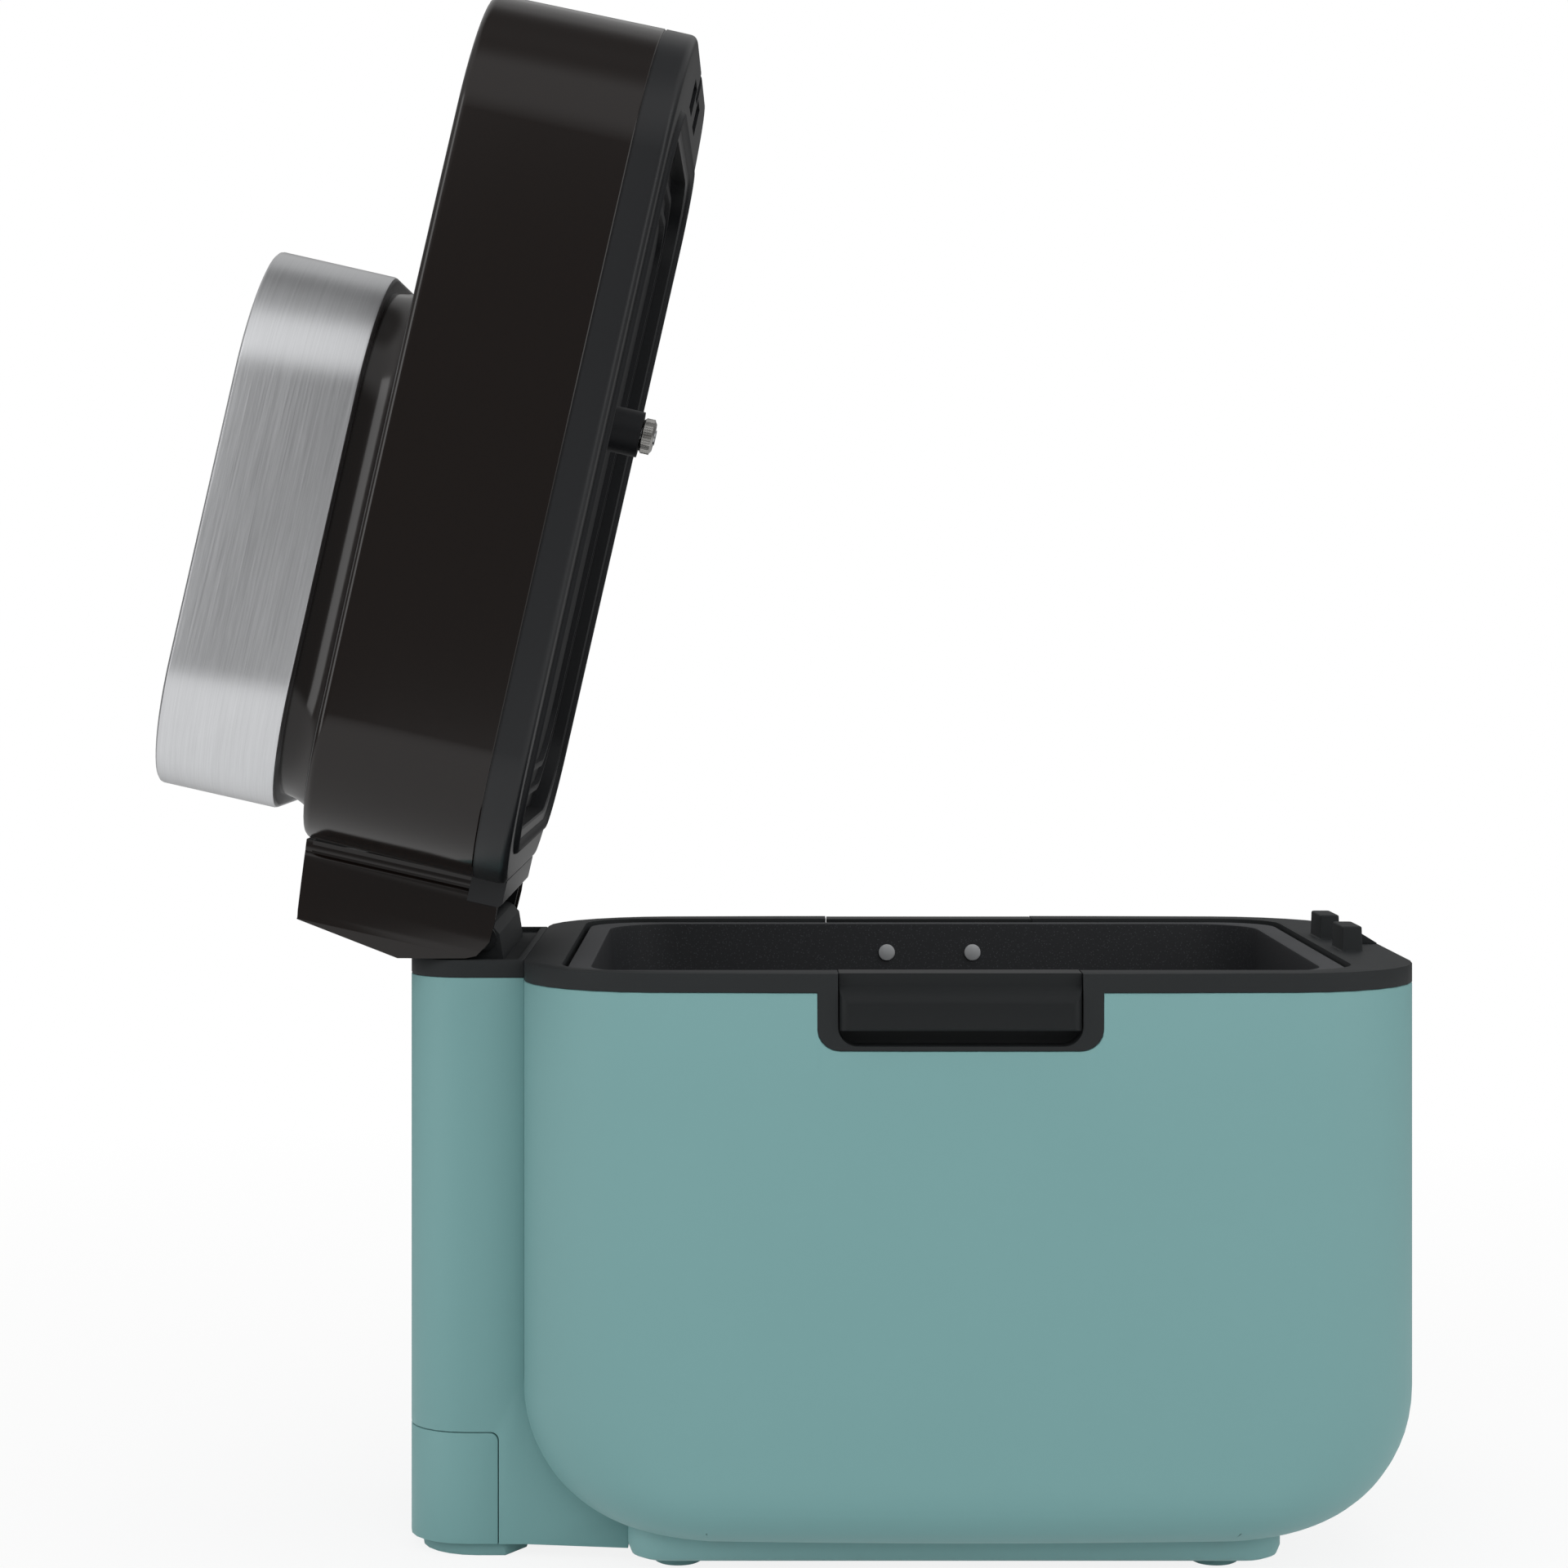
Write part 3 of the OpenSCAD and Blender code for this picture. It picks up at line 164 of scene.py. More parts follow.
def tinted(tree, shader, factor, colour, other):
    """Base colour that goes from one sRGB colour to another with a factor."""
    tint = add_node(tree, "ShaderNodeMix", {"Factor": factor, "A": linear(colour), "B": linear(other)},
                    data_type="RGBA")
    tree.links.new(tint.outputs["Result"], shader.inputs["Base Color"])


def embossed(tree, shader, height, relief, strength):
    """Relief of this depth in metres on the surface."""
    bump = add_node(tree, "ShaderNodeBump", {"Height": height, "Distance": relief, "Strength": strength})
    tree.links.new(bump.outputs["Normal"], shader.inputs["Normal"])


def moulded(name, colour, worn, roughness, grain, relief, **constants):
    """Injection moulded plastic or rubber: a spark-eroded grain, and a faint drift of colour.

    grain is the size of one pit of the tool's texture and relief its depth, both in metres."""
    material, tree, shader = finish(name, Roughness=roughness, **constants)
    place = object_place(tree)
    tinted(tree, shader, noise(tree, place, 9.0, 3.0), colour, worn)
    embossed(tree, shader, noise(tree, place, 0.5 / grain, 2.0, Roughness=0.6), relief, 0.6)
    return material


# ABS with a fine matt grain: an even, soft colour with no clear reflection, painted a shade paler than the
# body's teal as painted light against the shade under the body.
plinth_abs = moulded("plinth_abs", "#84afaf", "#80aaaa", 0.62, 0.0009, 0.00004)


def settled(piece):
    """Mesh of a piece with its modifiers made real."""
    return bpy.data.meshes.new_from_object(piece.evaluated_get(bpy.context.evaluated_depsgraph_get()))


def soften(node, name, edge, body, material, slot, segments=2, corners=(), angle=32, shaped=None):
    """Stands a copy of a CAD node in its place, with its flat faces whole again and its edges rounded.

    corners lists (place, radius): edges across the machine near a place get that radius first.
    shaped is a function that works on the mesh before that."""
    source = frame["nodes"][node].data
    mesh = bpy.data.meshes.new(name)
    mesh.from_pydata([v.co for v in source.vertices], [], [tuple(p.vertices) for p in source.polygons])
    shape = bmesh.new()
    shape.from_mesh(mesh)
    bmesh.ops.remove_doubles(shape, verts=shape.verts, dist=2e-6)
    bmesh.ops.dissolve_limit(shape, angle_limit=math.radians(0.4), verts=shape.verts, edges=shape.edges)
    if shaped:
        shaped(shape)
    for place, radius in corners:
        near = [e for e in shape.edges if all((Vector((v.co.x, v.co.z)) - Vector(place)).length < 4e-4
                                              for v in e.verts)]
        bmesh.ops.bevel(shape, geom=near, offset=radius, segments=5, profile=0.5, affect="EDGES",
                        clamp_overlap=True)
    shape.to_mesh(mesh)
    shape.free()
    piece = placed(name, mesh)
    if edge:
        bevel = piece.modifiers.new("edges", "BEVEL")
        bevel.width = edge
        bevel.segments = segments
        bevel.limit_method = "ANGLE"
        bevel.angle_limit = math.radians(angle)
        piece.data = settled(piece)
        piece.modifiers.clear()
    return fit(smooth(piece), body, material, slot, node)


# The tray's paler colour is painted light that makes up for the shade under the body.
soften("base_plate", "plinth_tray", 0.0004, "base", plinth_abs, "teal_base")


# ---- Feet and base screws ------------------------------------------------------
# Four round rubber feet are pressed on under the plinth, and a wide one under the
# column. The screws are zinc-plated pan heads with a small recess for the driver.

def new_tree(name, inputs):
    """A geometry tree with named inputs; it returns the tree and the sockets they come from."""
    tree = bpy.data.node_groups.new(name, "GeometryNodeTree")
    for label, kind in inputs.items():
        tree.interface.new_socket(label, in_out="INPUT", socket_type="NodeSocket" + kind)
    tree.interface.new_socket("Geometry", in_out="OUTPUT", socket_type="NodeSocketGeometry")
    return tree, tree.nodes.new("NodeGroupInput").outputs


def end_tree(tree, entry, geometry):
    """Makes the copies real, gives them their material and closes the tree."""
    real = add_node(tree, "GeometryNodeRealizeInstances", {"Geometry": geometry})
    dressed = add_node(tree, "GeometryNodeSetMaterial", {"Geometry": real.outputs["Geometry"],
                                                         "Material": entry["Material"]})
    add_node(tree, "NodeGroupOutput", {"Geometry": dressed.outputs["Geometry"]})
    return tree


def grown(name, tree, **values):
    """Plain mesh that a geometry tree makes with these values."""
    carrier = placed(name + "_tree", bpy.data.meshes.new(name + "_tree"))
    modifier = carrier.modifiers.new("grow", "NODES")
    modifier.node_group = tree
    for item in tree.interface.items_tree:
        key = item.name.replace(" ", "_")
        if item.in_out == "INPUT" and key in values:
            modifier[item.identifier] = values[key]
    mesh = settled(carrier)
    carrier.modifiers.clear()
    bpy.data.objects.remove(carrier)
    mesh.name = name
    return placed(name, mesh)


def turned(name, profile, steps=48, closed=False):
    """Turned piece: a profile of (radius, height) points spun about Z; a closed one is a ring."""
    turns = [2 * math.pi * k / steps for k in range(steps)]
    return loft(name, [[(r * math.cos(a), r * math.sin(a), z) for a in turns] for r, z in profile], closed)


# Copies of one piece at the corners of a rectangle: feet, screws, pillars.
corner_tree, entry = new_tree("four_corners", {"Length": "Float", "Width": "Float", "Piece": "Object",
                                               "Material": "Material"})
spots = add_node(corner_tree, "GeometryNodeMeshGrid", {"Size X": entry["Length"], "Size Y":
                 entry["Width"], "Vertices X": 2, "Vertices Y": 2})
one = add_node(corner_tree, "GeometryNodeObjectInfo", {"Object": entry["Piece"]})
copies = add_node(corner_tree, "GeometryNodeInstanceOnPoints", {"Points": spots.outputs["Mesh"],
                                                                "Instance": one.outputs["Geometry"]})
end_tree(corner_tree, entry, copies.outputs["Instances"])


def four_of(name, one_piece, centre, length, width, material):
    """Four copies of a piece round a centre, as one mesh."""
    set_of_four = grown(name, corner_tree, Length=length, Width=width, Piece=one_piece, Material=material)
    set_of_four.data.transform(Matrix.Translation(centre))
    bpy.data.objects.remove(one_piece)
    return smooth(set_of_four)


# Rubber: softer and rougher than the plastic, with a slightly dusty shade.
foot_rubber = moulded("foot_rubber", "#779f9f", "#729a9a", 0.78, 0.0012, 0.00005)

feet_low, feet_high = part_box("plinth_feet")
foot_radius = 0.0089
foot_height = feet_high.z
foot = turned("foot", [(0.004, 0.0), (foot_radius - 0.0012, 0.0), (foot_radius - 0.0004, 0.0004),
                       (foot_radius, 0.0013), (foot_radius, foot_height)])
feet_centre = ((feet_low.x + feet_high.x) / 2, 0, 0)
feet = four_of("round_feet", foot, feet_centre, feet_high.x - feet_low.x - 2 * foot_radius,
               feet_high.y - feet_low.y - 2 * foot_radius, foot_rubber)
fit(feet, "base", foot_rubber, "foot_rubber", "plinth_feet")


soften("rear_foot", "wide_rear_foot", 0.0007, "base", foot_rubber, "foot_rubber")


def metal(name, colour, roughness, spread, grain, relief, stretch=(1, 1, 1), metallic=1.0):
    """Bare metal: roughness varies by spread over marks of the size grain, drawn out by stretch."""
    material, tree, shader = finish(name, Metallic=metallic, Base_Color=linear(colour))
    along = add_node(tree, "ShaderNodeMapping", {"Vector": object_place(tree), "Scale": stretch})
    marks = noise(tree, along.outputs["Vector"], 0.5 / grain, 3.0, Roughness=0.65)
    shine = ramp(tree, marks, 0.3, 0.7, roughness - spread, roughness + spread)
    tree.links.new(shine, shader.inputs["Roughness"])
    embossed(tree, shader, marks, relief, 0.5)
    return material


# Zinc plate on steel: bright, a little milky, with fine turning marks.
zinc_plate = metal("zinc_plate", "#a9abad", 0.34, 0.06, 0.0012, 0.00001)

screws_low, screws_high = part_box("base_screws")
screw_head = 0.004
recess = 0.0011
screw = turned("screw", [(0.002, screws_low.z), (0.002, screws_high.z - 0.0025),
                         (screw_head, screws_high.z - 0.0025), (screw_head, screws_high.z - 0.0012),
                         (screw_head - 0.0006, screws_high.z - 0.0004), (recess * 1.6, screws_high.z),
                         (recess, screws_high.z), (recess * 0.5, screws_high.z - 0.0014)], steps=16)
screws_centre = ((screws_low.x + screws_high.x) / 2, 0, 0)
screws = four_of("plinth_screws", screw, screws_centre, screws_high.x - screws_low.x - 2 * screw_head,
                 screws_high.y - screws_low.y - 2 * screw_head, zinc_plate)
fit(screws, "base", zinc_plate, "bright_steel", "base_screws")


# ---- Body shell --------------------------------------------------------------
# The body is one deep shell that curves up at the front and rear. It is drawn steel
# under a sprayed matt enamel, and its top edge is cut down for a recess on each side.

def sprayed(name, colour, worn, roughness):
    """Sprayed matt enamel: a low orange peel about 2 mm wide over a finer grit, and a soft sheen."""
    material, tree, shader = finish(name, Roughness=roughness, Specular_IOR_Level=0.35)
    place = object_place(tree)
    tinted(tree, shader, noise(tree, place, 7.0, 2.0), colour, worn)
    peel = noise(tree, place, 260.0, 1.0)
    grit = noise(tree, place, 1500.0, 1.0)
    rise = add_node(tree, "ShaderNodeMath", {0: grit, 1: 0.35, 2: peel}, operation="MULTIPLY_ADD")
    embossed(tree, shader, rise.outputs["Value"], 0.00004, 0.5)
    return material


teal_enamel = sprayed("teal_enamel", "#77a2a2", "#739e9e", 0.55)

body_low, body_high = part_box("body_shell")
body_x = (body_low.x + body_high.x) / 2
body_length = body_high.x - body_low.x
body_width = body_high.y - body_low.y
heel = 0.052
body_corner = 0.048
body_bow = 0.005
body_side_edge = 0.024
body_wall = 0.0022
handle_low, handle_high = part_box("pan_handles")
handle_x = (handle_low.x + handle_high.x) / 2
rim_low, rim_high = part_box("rim_frame")
recess_half = (handle_high.x - handle_low.x) / 2 + 0.0077
recess_round = 0.0081
recess_floor = rim_low.z - 0.0001
wall_row = recess_floor - 0.012
recess_turn = [math.radians(a) for a in (0, 18, 36, 54, 72, 90)]
recess_steps = [recess_half - recess_round * (1 - math.sin(a)) for a in recess_turn]
recess_steps += [recess_half + 0.00005, 0.02, 0.033]
recess_stations = [handle_x - body_x + side * s for side in (-1, 1) for s in recess_steps]
wall_stations = sorted(recess_stations + [handle_x - body_x, -0.095, -0.075, 0.075, 0.095])


def inset_at(radius, height):
    """How far a rounded lower edge of this radius is drawn in at a height above its foot."""
    return 0 if height >= radius else radius - math.sqrt(radius ** 2 - (radius - height) ** 2)


def shell_top(x, y):
    """Height of the shell's top edge, which drops for the recess beside each handle."""
    away = abs(x - (handle_x - body_x))
    if abs(y) < body_width / 2 - 0.012 or away > recess_half + 0.00002:
        return body_high.z
    if away <= recess_half - recess_round:
        return recess_floor
    across = away - (recess_half - recess_round)
    return recess_floor + recess_round - math.sqrt(max(recess_round ** 2 - across ** 2, 0))


def body_ring(inset, z=None, below_top=0.0):
    """Ring of the body at height z, or a little below its top edge."""
    height = 1.0 if z is None else z - body_low.z - inset
    side = inset + inset_at(body_side_edge - inset, height)
    end = inset + inset_at(heel - inset, height)
    points = outline(body_length - 2 * end, body_width - 2 * side, body_corner - side, body_bow,
                     wall_stations)
    stem = outline(body_length, body_width, body_corner, body_bow, wall_stations)
    return [(x + body_x, y, shell_top(*at) - below_top if z is None else z)
            for (x, y), at in zip(points, stem)]


def heights(inset):
    """Heights of the rings up the rounded foot of the body."""
    large, small = heel - inset, body_side_edge - inset
    steps = [math.radians(6 * k) for k in range(16)]
    found = sorted([large * (1 - math.cos(a)) for a in steps]
                   + [small * (1 - math.cos(a)) for a in steps[1:]])
    kept = [h for k, h in enumerate(found) if k == 0 or h - found[k - 1] > 2e-4]
    return [body_low.z + inset + h for h in kept]


wall_rows = [0.11, 0.15, wall_row]
body_rings = [body_ring(0, z) for z in heights(0) + wall_rows]
body_rings += [body_ring(0, None, 0.0009), body_ring(0.0003, None, 0.0003), body_ring(0.0009, None),
               body_ring(body_wall, None)]
body_rings += [body_ring(body_wall, z) for z in reversed(heights(body_wall) + wall_rows)]
body = loft("body_shell_drawn", body_rings)
fit(body, "base", teal_enamel, "teal_paint", "body_shell")


# ---- Drive under the floor ---------------------------------------------------
# A plate on four pillars carries the bearing housing and the motor. A flat belt
# takes the motor's small pulley to the large one under the pan.

def dress(material, *nodes):
    """Gives carried-over CAD nodes their finish."""
    for name in nodes:
        part = frame["nodes"][name]
        part.data.materials.clear()
        part.data.materials.append(material)


# Rolled mild steel sheet: dull grey, with faint marks along the rolling direction.
rolled_steel = metal("rolled_steel", "#8e9092", 0.42, 0.08, 0.0016, 0.00001, stretch=(0.1, 1, 1))
# Die cast zinc alloy: rougher and darker, with a cast skin.
cast_zinc = metal("cast_zinc", "#8d8f91", 0.5, 0.08, 0.0012, 0.00004)
# Ground shaft steel: bright, with fine rings round the shaft.
ground_steel = metal("ground_steel", "#b2b3b5", 0.24, 0.05, 0.0006, 0.000006, stretch=(0.3, 0.3, 3))
# Glass-filled nylon: black, dull, slightly streaked.
nylon = moulded("glass_filled_nylon", "#232527", "#2a2c2e", 0.5, 0.0008, 0.00004)
# Chloroprene belt and nitrile seal: deep matt black.
black_rubber = moulded("black_rubber", "#1a1b1c", "#202122", 0.7, 0.0008, 0.00003)
# Solder resist over glass cloth: green, half glossy, with the weave just showing.
solder_resist = moulded("solder_resist", "#2d6842", "#2a6140", 0.35, 0.0006, 0.00002)

dress(rolled_steel, "chassis_plate", "chassis_pillars")
dress(cast_zinc, "bearing_housing", "drive_coupling", "pan_coupling")
dress(ground_steel, "drive_bearings", "drive_shaft", "motor_shaft", "pan_shaft")
dress(zinc_plate, "motor_housing", "fan_motor")
dress(nylon, "drive_pulley", "motor_pulley")
dress(black_rubber, "drive_belt", "shaft_seal")
dress(solder_resist, "power_board", "control_board")


# ---- Rear column -------------------------------------------------------------
# The column carries the hinge and houses the power board. Its shell is sprayed with
# the body's enamel; the cover at its foot comes off to reach the cord's gland.

cover_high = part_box("column_cover")[1]
seam_round = 0.003
soften("column_shell", "column_shell_drawn", 0.0005, "base", teal_enamel, "teal_paint",
       corners=[((cover_high.x + 0.0003, cover_high.z + 0.0003), seam_round)])
soften("column_cover", "column_foot_cover", 0.0005, "base", teal_enamel, "teal_paint",
       corners=[((cover_high.x, cover_high.z), seam_round)])

# Polypropylene: black with a satin grain that greys it in the light.
satin_black = moulded("satin_black_pp", "#282a2b", "#2c2e2f", 0.55, 0.0007, 0.00003,
                      Specular_IOR_Level=0.1)
soften("cord_gland", "cord_gland_moulded", 0.0006, "base", satin_black, "black_plastic")
soften("column_cap", "column_deck", 0.0006, "base", satin_black, "black_plastic")


# ---- Chamber -----------------------------------------------------------------
# The baking chamber is a deep-drawn steel box hung from the rim. A tube element
# runs round its foot in four clips, and a brass probe reads the heat.

# Nickel alloy element tube: heat has turned it brown grey.
element_tube = metal("element_tube", "#6c6762", 0.48, 0.08, 0.0010, 0.00002)
# Brass: free-cutting bar, a little dulled.
bar_brass = metal("bar_brass", "#b8975c", 0.32, 0.06, 0.0008, 0.00001)
dress(rolled_steel, "chamber_liner", "heater_clips")
dress(element_tube, "bake_heater", "lid_heater")
dress(bar_brass, "temperature_probe", "pan_bush")


# ---- Rim, hinge pedestal, posts and catch ---------------------------------------
# The rim closes the gap between body and chamber. On it stand the pedestal that
# the lid turns on, two interlock posts and the sloping catch at the front.

soften("rim_frame", "rim_moulding", 0.0012, "base", satin_black, "black_plastic", segments=3)
soften("hinge_pedestal", "hinge_block", 0.0009, "base", satin_black, "black_plastic", segments=3)
soften("lid_catch", "front_catch", 0.0007, "base", satin_black, "black_plastic", segments=3)

posts_low, posts_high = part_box("interlock_posts")
post_length = posts_high.x - posts_low.x
post_width = 0.025
post_y = posts_high.y - post_width / 2
post_x = (posts_low.x + posts_high.x) / 2
post_top = posts_high.z
post_foot = 0.0008
post_soft = 0.0007


def post_ring(inset, z, corner, y):
    points = outline(post_length - 2 * inset, post_width - 2 * inset, corner, steps=6)
    return [(px + post_x, py + y, z) for px, py in points]


for side, y in (("near", -post_y), ("far", post_y)):
    rings = [post_ring(0, posts_low.z, 0.0008, y), post_ring(0.0004, posts_low.z + 0.0003, 0.0008, y),
             post_ring(0.0005, posts_low.z + post_foot, 0.0008, y)]
    for k in range(5):
        turn = math.radians(22.5 * k)
        rings.append(post_ring(0.0007 + post_soft * (1 - math.cos(turn)),
                               post_top - post_soft * (1 - math.sin(turn)), 0.0009, y))
    post = loft("interlock_post_" + side, rings)
    fit(post, "base", satin_black, "black_plastic", "interlock_posts")


# ---- Bread pan ---------------------------------------------------------------
# The pan is deep-drawn aluminium with a flat flange, sprayed with a speckled
# non-stick coating; the flange's upward faces are painted paler, a painted highlight.

def non_stick(name, colour, speck, roughness):
    """PTFE coating: a satin film over blasted metal, with pale specks about 0.8 mm wide."""
    material, tree, shader = finish(name, Roughness=roughness, Specular_IOR_Level=0.07)
    place = object_place(tree)
    specks = add_node(tree, "ShaderNodeTexVoronoi", {"Vector": place, "Scale": 1000.0})
    tinted(tree, shader, ramp(tree, specks.outputs["Distance"], 0.08, 0.30, 1.0, 0.0), colour, speck)
    embossed(tree, shader, noise(tree, place, 1100.0, 2.0), 0.00004, 0.5)
    return material


pan_coat = non_stick("pan_non_stick", "#2e2f31", "#444649", 0.5)

pan_low, pan_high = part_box("bread_pan")
pan_x = (pan_low.x + pan_high.x) / 2
flange_length = pan_high.x - pan_low.x
flange_width = pan_high.y - pan_low.y
flange_corner = 0.0231
pan_sheet = 0.0015
end_flange = 0.0087
side_flange = 0.0035
pan_length = flange_length - 2 * end_flange
pan_width = flange_width - 2 * side_flange
pan_corner = 0.027
pan_lean = 0.0045
pan_top = pan_high.z
pan_middle = 0.15
boss_radius = 0.011
bush_radius = 0.007
boss_height = 0.002
pan_under = pan_low.z + boss_height
pan_floor = pan_under + pan_sheet
foot_radius_in = 0.012


def pan_ring(z, grow, foot_cut=0.0):
    lean = pan_lean * (pan_top - z) / (pan_top - pan_floor) + foot_cut
    points = outline(pan_length + 2 * (grow - lean), pan_width + 2 * (grow - lean),
                     pan_corner + grow - lean / 2)
    return [(x + pan_x, y, z) for x, y in points]


def pan_circle(radius, z):
    return [(pan_x + radius * math.cos(a), radius * math.sin(a), z)
            for a in (math.atan2(y, x) for x, y in outline(pan_length, pan_width, pan_corner))]


def flange_ring(inset, z):
    points = outline(flange_length - 2 * inset, flange_width - 2 * inset, flange_corner - inset)
    return [(x + pan_x, y, z) for x, y in points]


foot_arc = [math.radians(a) for a in (0, 15, 30, 45, 60, 75, 90)]
pan_rings = [pan_circle(bush_radius, pan_low.z), pan_circle(boss_radius, pan_low.z),
             pan_circle(boss_radius, pan_under)]
pan_rings += [pan_ring(pan_under + foot_radius_in * (1 - math.cos(a)), pan_sheet,
                       foot_radius_in * (1 - math.sin(a))) for a in foot_arc]
lip = 0.0004
pan_rings += [pan_ring(pan_middle, pan_sheet), pan_ring(pan_top - pan_sheet, pan_sheet),
              flange_ring(lip, pan_top - pan_sheet), flange_ring(0, pan_top - pan_sheet + lip),
              flange_ring(0, pan_top - lip), flange_ring(lip, pan_top), pan_ring(pan_top, 0.0012),
              pan_ring(pan_top - 0.0004, 0.0003), pan_ring(pan_top - 0.0012, 0), pan_ring(pan_middle, 0)]
inner_foot = foot_radius_in - pan_sheet
pan_rings += [pan_ring(pan_floor + inner_foot * (1 - math.cos(a)), 0, inner_foot * (1 - math.sin(a)))
              for a in reversed(foot_arc)]
pan_rings += [pan_circle(boss_radius, pan_floor), pan_circle(boss_radius - 0.0006, pan_floor + boss_height),
              pan_circle(bush_radius, pan_floor + boss_height)]
pan = loft("bread_pan_drawn", pan_rings, closed=True)
fit(pan, "pan", pan_coat, "pan_coating", "bread_pan")
# The flange's paler coat is a painted highlight on its faces that look up, where light falls on them.
painted_highlight_coat = non_stick("flange_film", "#464749", "#4c4e50", 0.6)
pan.data.materials.append(painted_highlight_coat)
# Faces of the flange and the pan's top edge that look up take the paler coat: a painted highlight.
for face in pan.data.polygons:
    middle = face.center
    if middle.z > pan_top - pan_sheet - 1e-4 and face.normal.z > 0.4:
        face.material_index = 1

# Phenolic: hard, dark and satin, moulded over the steel legs.
phenolic = moulded("phenolic_black", "#1b1d1e", "#1f2122", 0.42, 0.0008, 0.00003,
                   Specular_IOR_Level=0.15)
grip_side = handle_high.y - 0.0052
# Depths below the rim on the shoulder, as drawn and as moulded.
grip_slope = ((0.0116, 0.0112), (0.0100, 0.0094), (0.0084, 0.0070), (0.0060, 0.0047), (0.0056, 0.0040),
              (0, 0))


def crown_grip(shape):
    """Raises the shoulder of each grip to a fuller curve that starts at a small ledge."""
    for vertex in shape.verts:
        drop = rim_high.z - vertex.co.z
        if abs(vertex.co.y) > grip_side and 1e-5 < drop < grip_slope[0][0]:
            for (low, low_to), (high, high_to) in zip(grip_slope, grip_slope[1:]):
                if high <= drop <= low:
                    share = (drop - high) / (low - high)
                    vertex.co.z = rim_high.z - high_to - share * (low_to - high_to)
                    break


soften("pan_handles", "pan_grips", 0.0007, "pan", phenolic, "grip_plastic",
       segments=3, angle=20, shaped=crown_grip)
# Rivets: annealed aluminium, dull and slightly pitted by the hammer.
rivet_metal = metal("rivet_aluminium", "#b6b8ba", 0.55, 0.06, 0.0009, 0.00001, metallic=0.5)
soften("handle_rivets", "flat_rivets", 0.0003, "pan", rivet_metal, "bright_steel")
# Spun aluminium: grey, with fine rings from the tool.
spun_aluminium = metal("spun_aluminium", "#97999b", 0.38, 0.08, 0.0009, 0.00001)
dress(spun_aluminium, "pan_base")

soften("kneading_paddle", "dough_paddle", 0.0012, "paddle", pan_coat, "pan_coating", segments=3)


# ---- Hinge arms and tail -------------------------------------------------------
# Two steel arms are screwed into the lid and turn on pins in the pedestal. The
# glossy tail hides them and closes against the column when the lid goes down.

hinge = next(j for j in frame["joints"] if j["name"] == "lid_hinge")
hinge_at = Vector(hinge["pos_m"])
open_angle = math.radians(-hinge["range_deg"][0])
forward = Vector((math.cos(open_angle), 0, math.sin(open_angle)))
upward = Vector((-math.sin(open_angle), 0, math.cos(open_angle)))


def on_lid(u, y, v):
    """Point of the open lid, from its place with the lid shut: u forward of the hinge, v above it."""
    return hinge_at + forward * u + Vector((0, y, 0)) + upward * v


def lid_span(node):
    """Lowest and highest u and v of a node on the lid, as (u0, u1, v0, v1)."""
    places = [v.co - hinge_at for v in frame["nodes"][node].data.vertices]
    along = [p.dot(forward) for p in places]
    above = [p.dot(upward) for p in places]
    return min(along), max(along), min(above), max(above)


# Phosphated steel: dull black under a film of oil.
black_steel = metal("phosphated_steel", "#2c2d2e", 0.5, 0.08, 0.0012, 0.00001)
dress(black_steel, "hinge_arms", "hinge_pins")


def lacquered(name, colour, shade, roughness):
    """Piano lacquer on ABS: a deep colour under a clear coat with a very long, low orange peel."""
    material, tree, shader = finish(name, Roughness=roughness, Specular_IOR_Level=0.4)
    place = object_place(tree)
    tinted(tree, shader, noise(tree, place, 6.0, 2.0), colour, shade)
    embossed(tree, shader, noise(tree, place, 160.0, 1.0), 0.00002, 0.3)
    return material


brown_lacquer = lacquered("brown_lacquer", "#100805", "#0e0704", 0.14)
tail_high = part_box("tail_cover")[1]
tail_u0, tail_u1, _, tail_v1 = lid_span("tail_cover")
tail_groove = tail_u1 - 0.0042


def crown_tail(shape):
    """Curves the tail's flat sides and draws a shallow groove along them, below the joint."""
    stations = [tail_groove + k * 0.0006 for k in (-3, -2, -1, 0, 1, 2)]
    stations += [tail_u0 + k * (tail_groove - 0.003 - tail_u0) / 9 for k in range(1, 10)]
    for u in stations:
        bmesh.ops.bisect_plane(shape, geom=shape.verts[:] + shape.edges[:] + shape.faces[:],
                               plane_co=on_lid(u, 0, 0), plane_no=forward)
    for vertex in shape.verts:
        if abs(vertex.co.y) > tail_high.y - 1e-5:
            u = (vertex.co - hinge_at).dot(forward)
            dip = 0.0026 * ((u - tail_u0) / (tail_u1 - tail_u0)) ** 2
            dip += 0.0006 * math.exp(-((u - tail_groove) / 0.0007) ** 2)
            vertex.co.y -= math.copysign(dip, vertex.co.y)


tail_corner = on_lid(-0.0065, 0, tail_v1 - 0.0032)
soften("tail_cover", "lid_tail", 0.0014, "lid", brown_lacquer, "gloss_brown", segments=4, angle=24,
       corners=[((tail_corner.x, tail_corner.z), 0.003)], shaped=crown_tail)


# ---- Lid trim and shell ----------------------------------------------------------
# The trim is a stiff satin frame that sits on the rim; slots in it take the posts.
# The lacquered shell snaps down on it and leaves a thin dark joint all round.

trim_u0, trim_u1, trim_v0, trim_v1 = lid_span("lid_trim")
shell_v0, shell_v1 = lid_span("lid_shell")[2:]
lid_u = (trim_u0 + trim_u1) / 2
lid_length = trim_u1 - trim_u0
joint = 0.0007


def lid_ring(v, inset):
    points = outline(lid_length - 2 * inset, body_width - 2 * inset, body_corner - inset, body_bow,
                     (-0.11, -0.08, -0.04, 0, 0.04, 0.08, 0.11))
    return [on_lid(u + lid_u, y, v) for u, y in points]


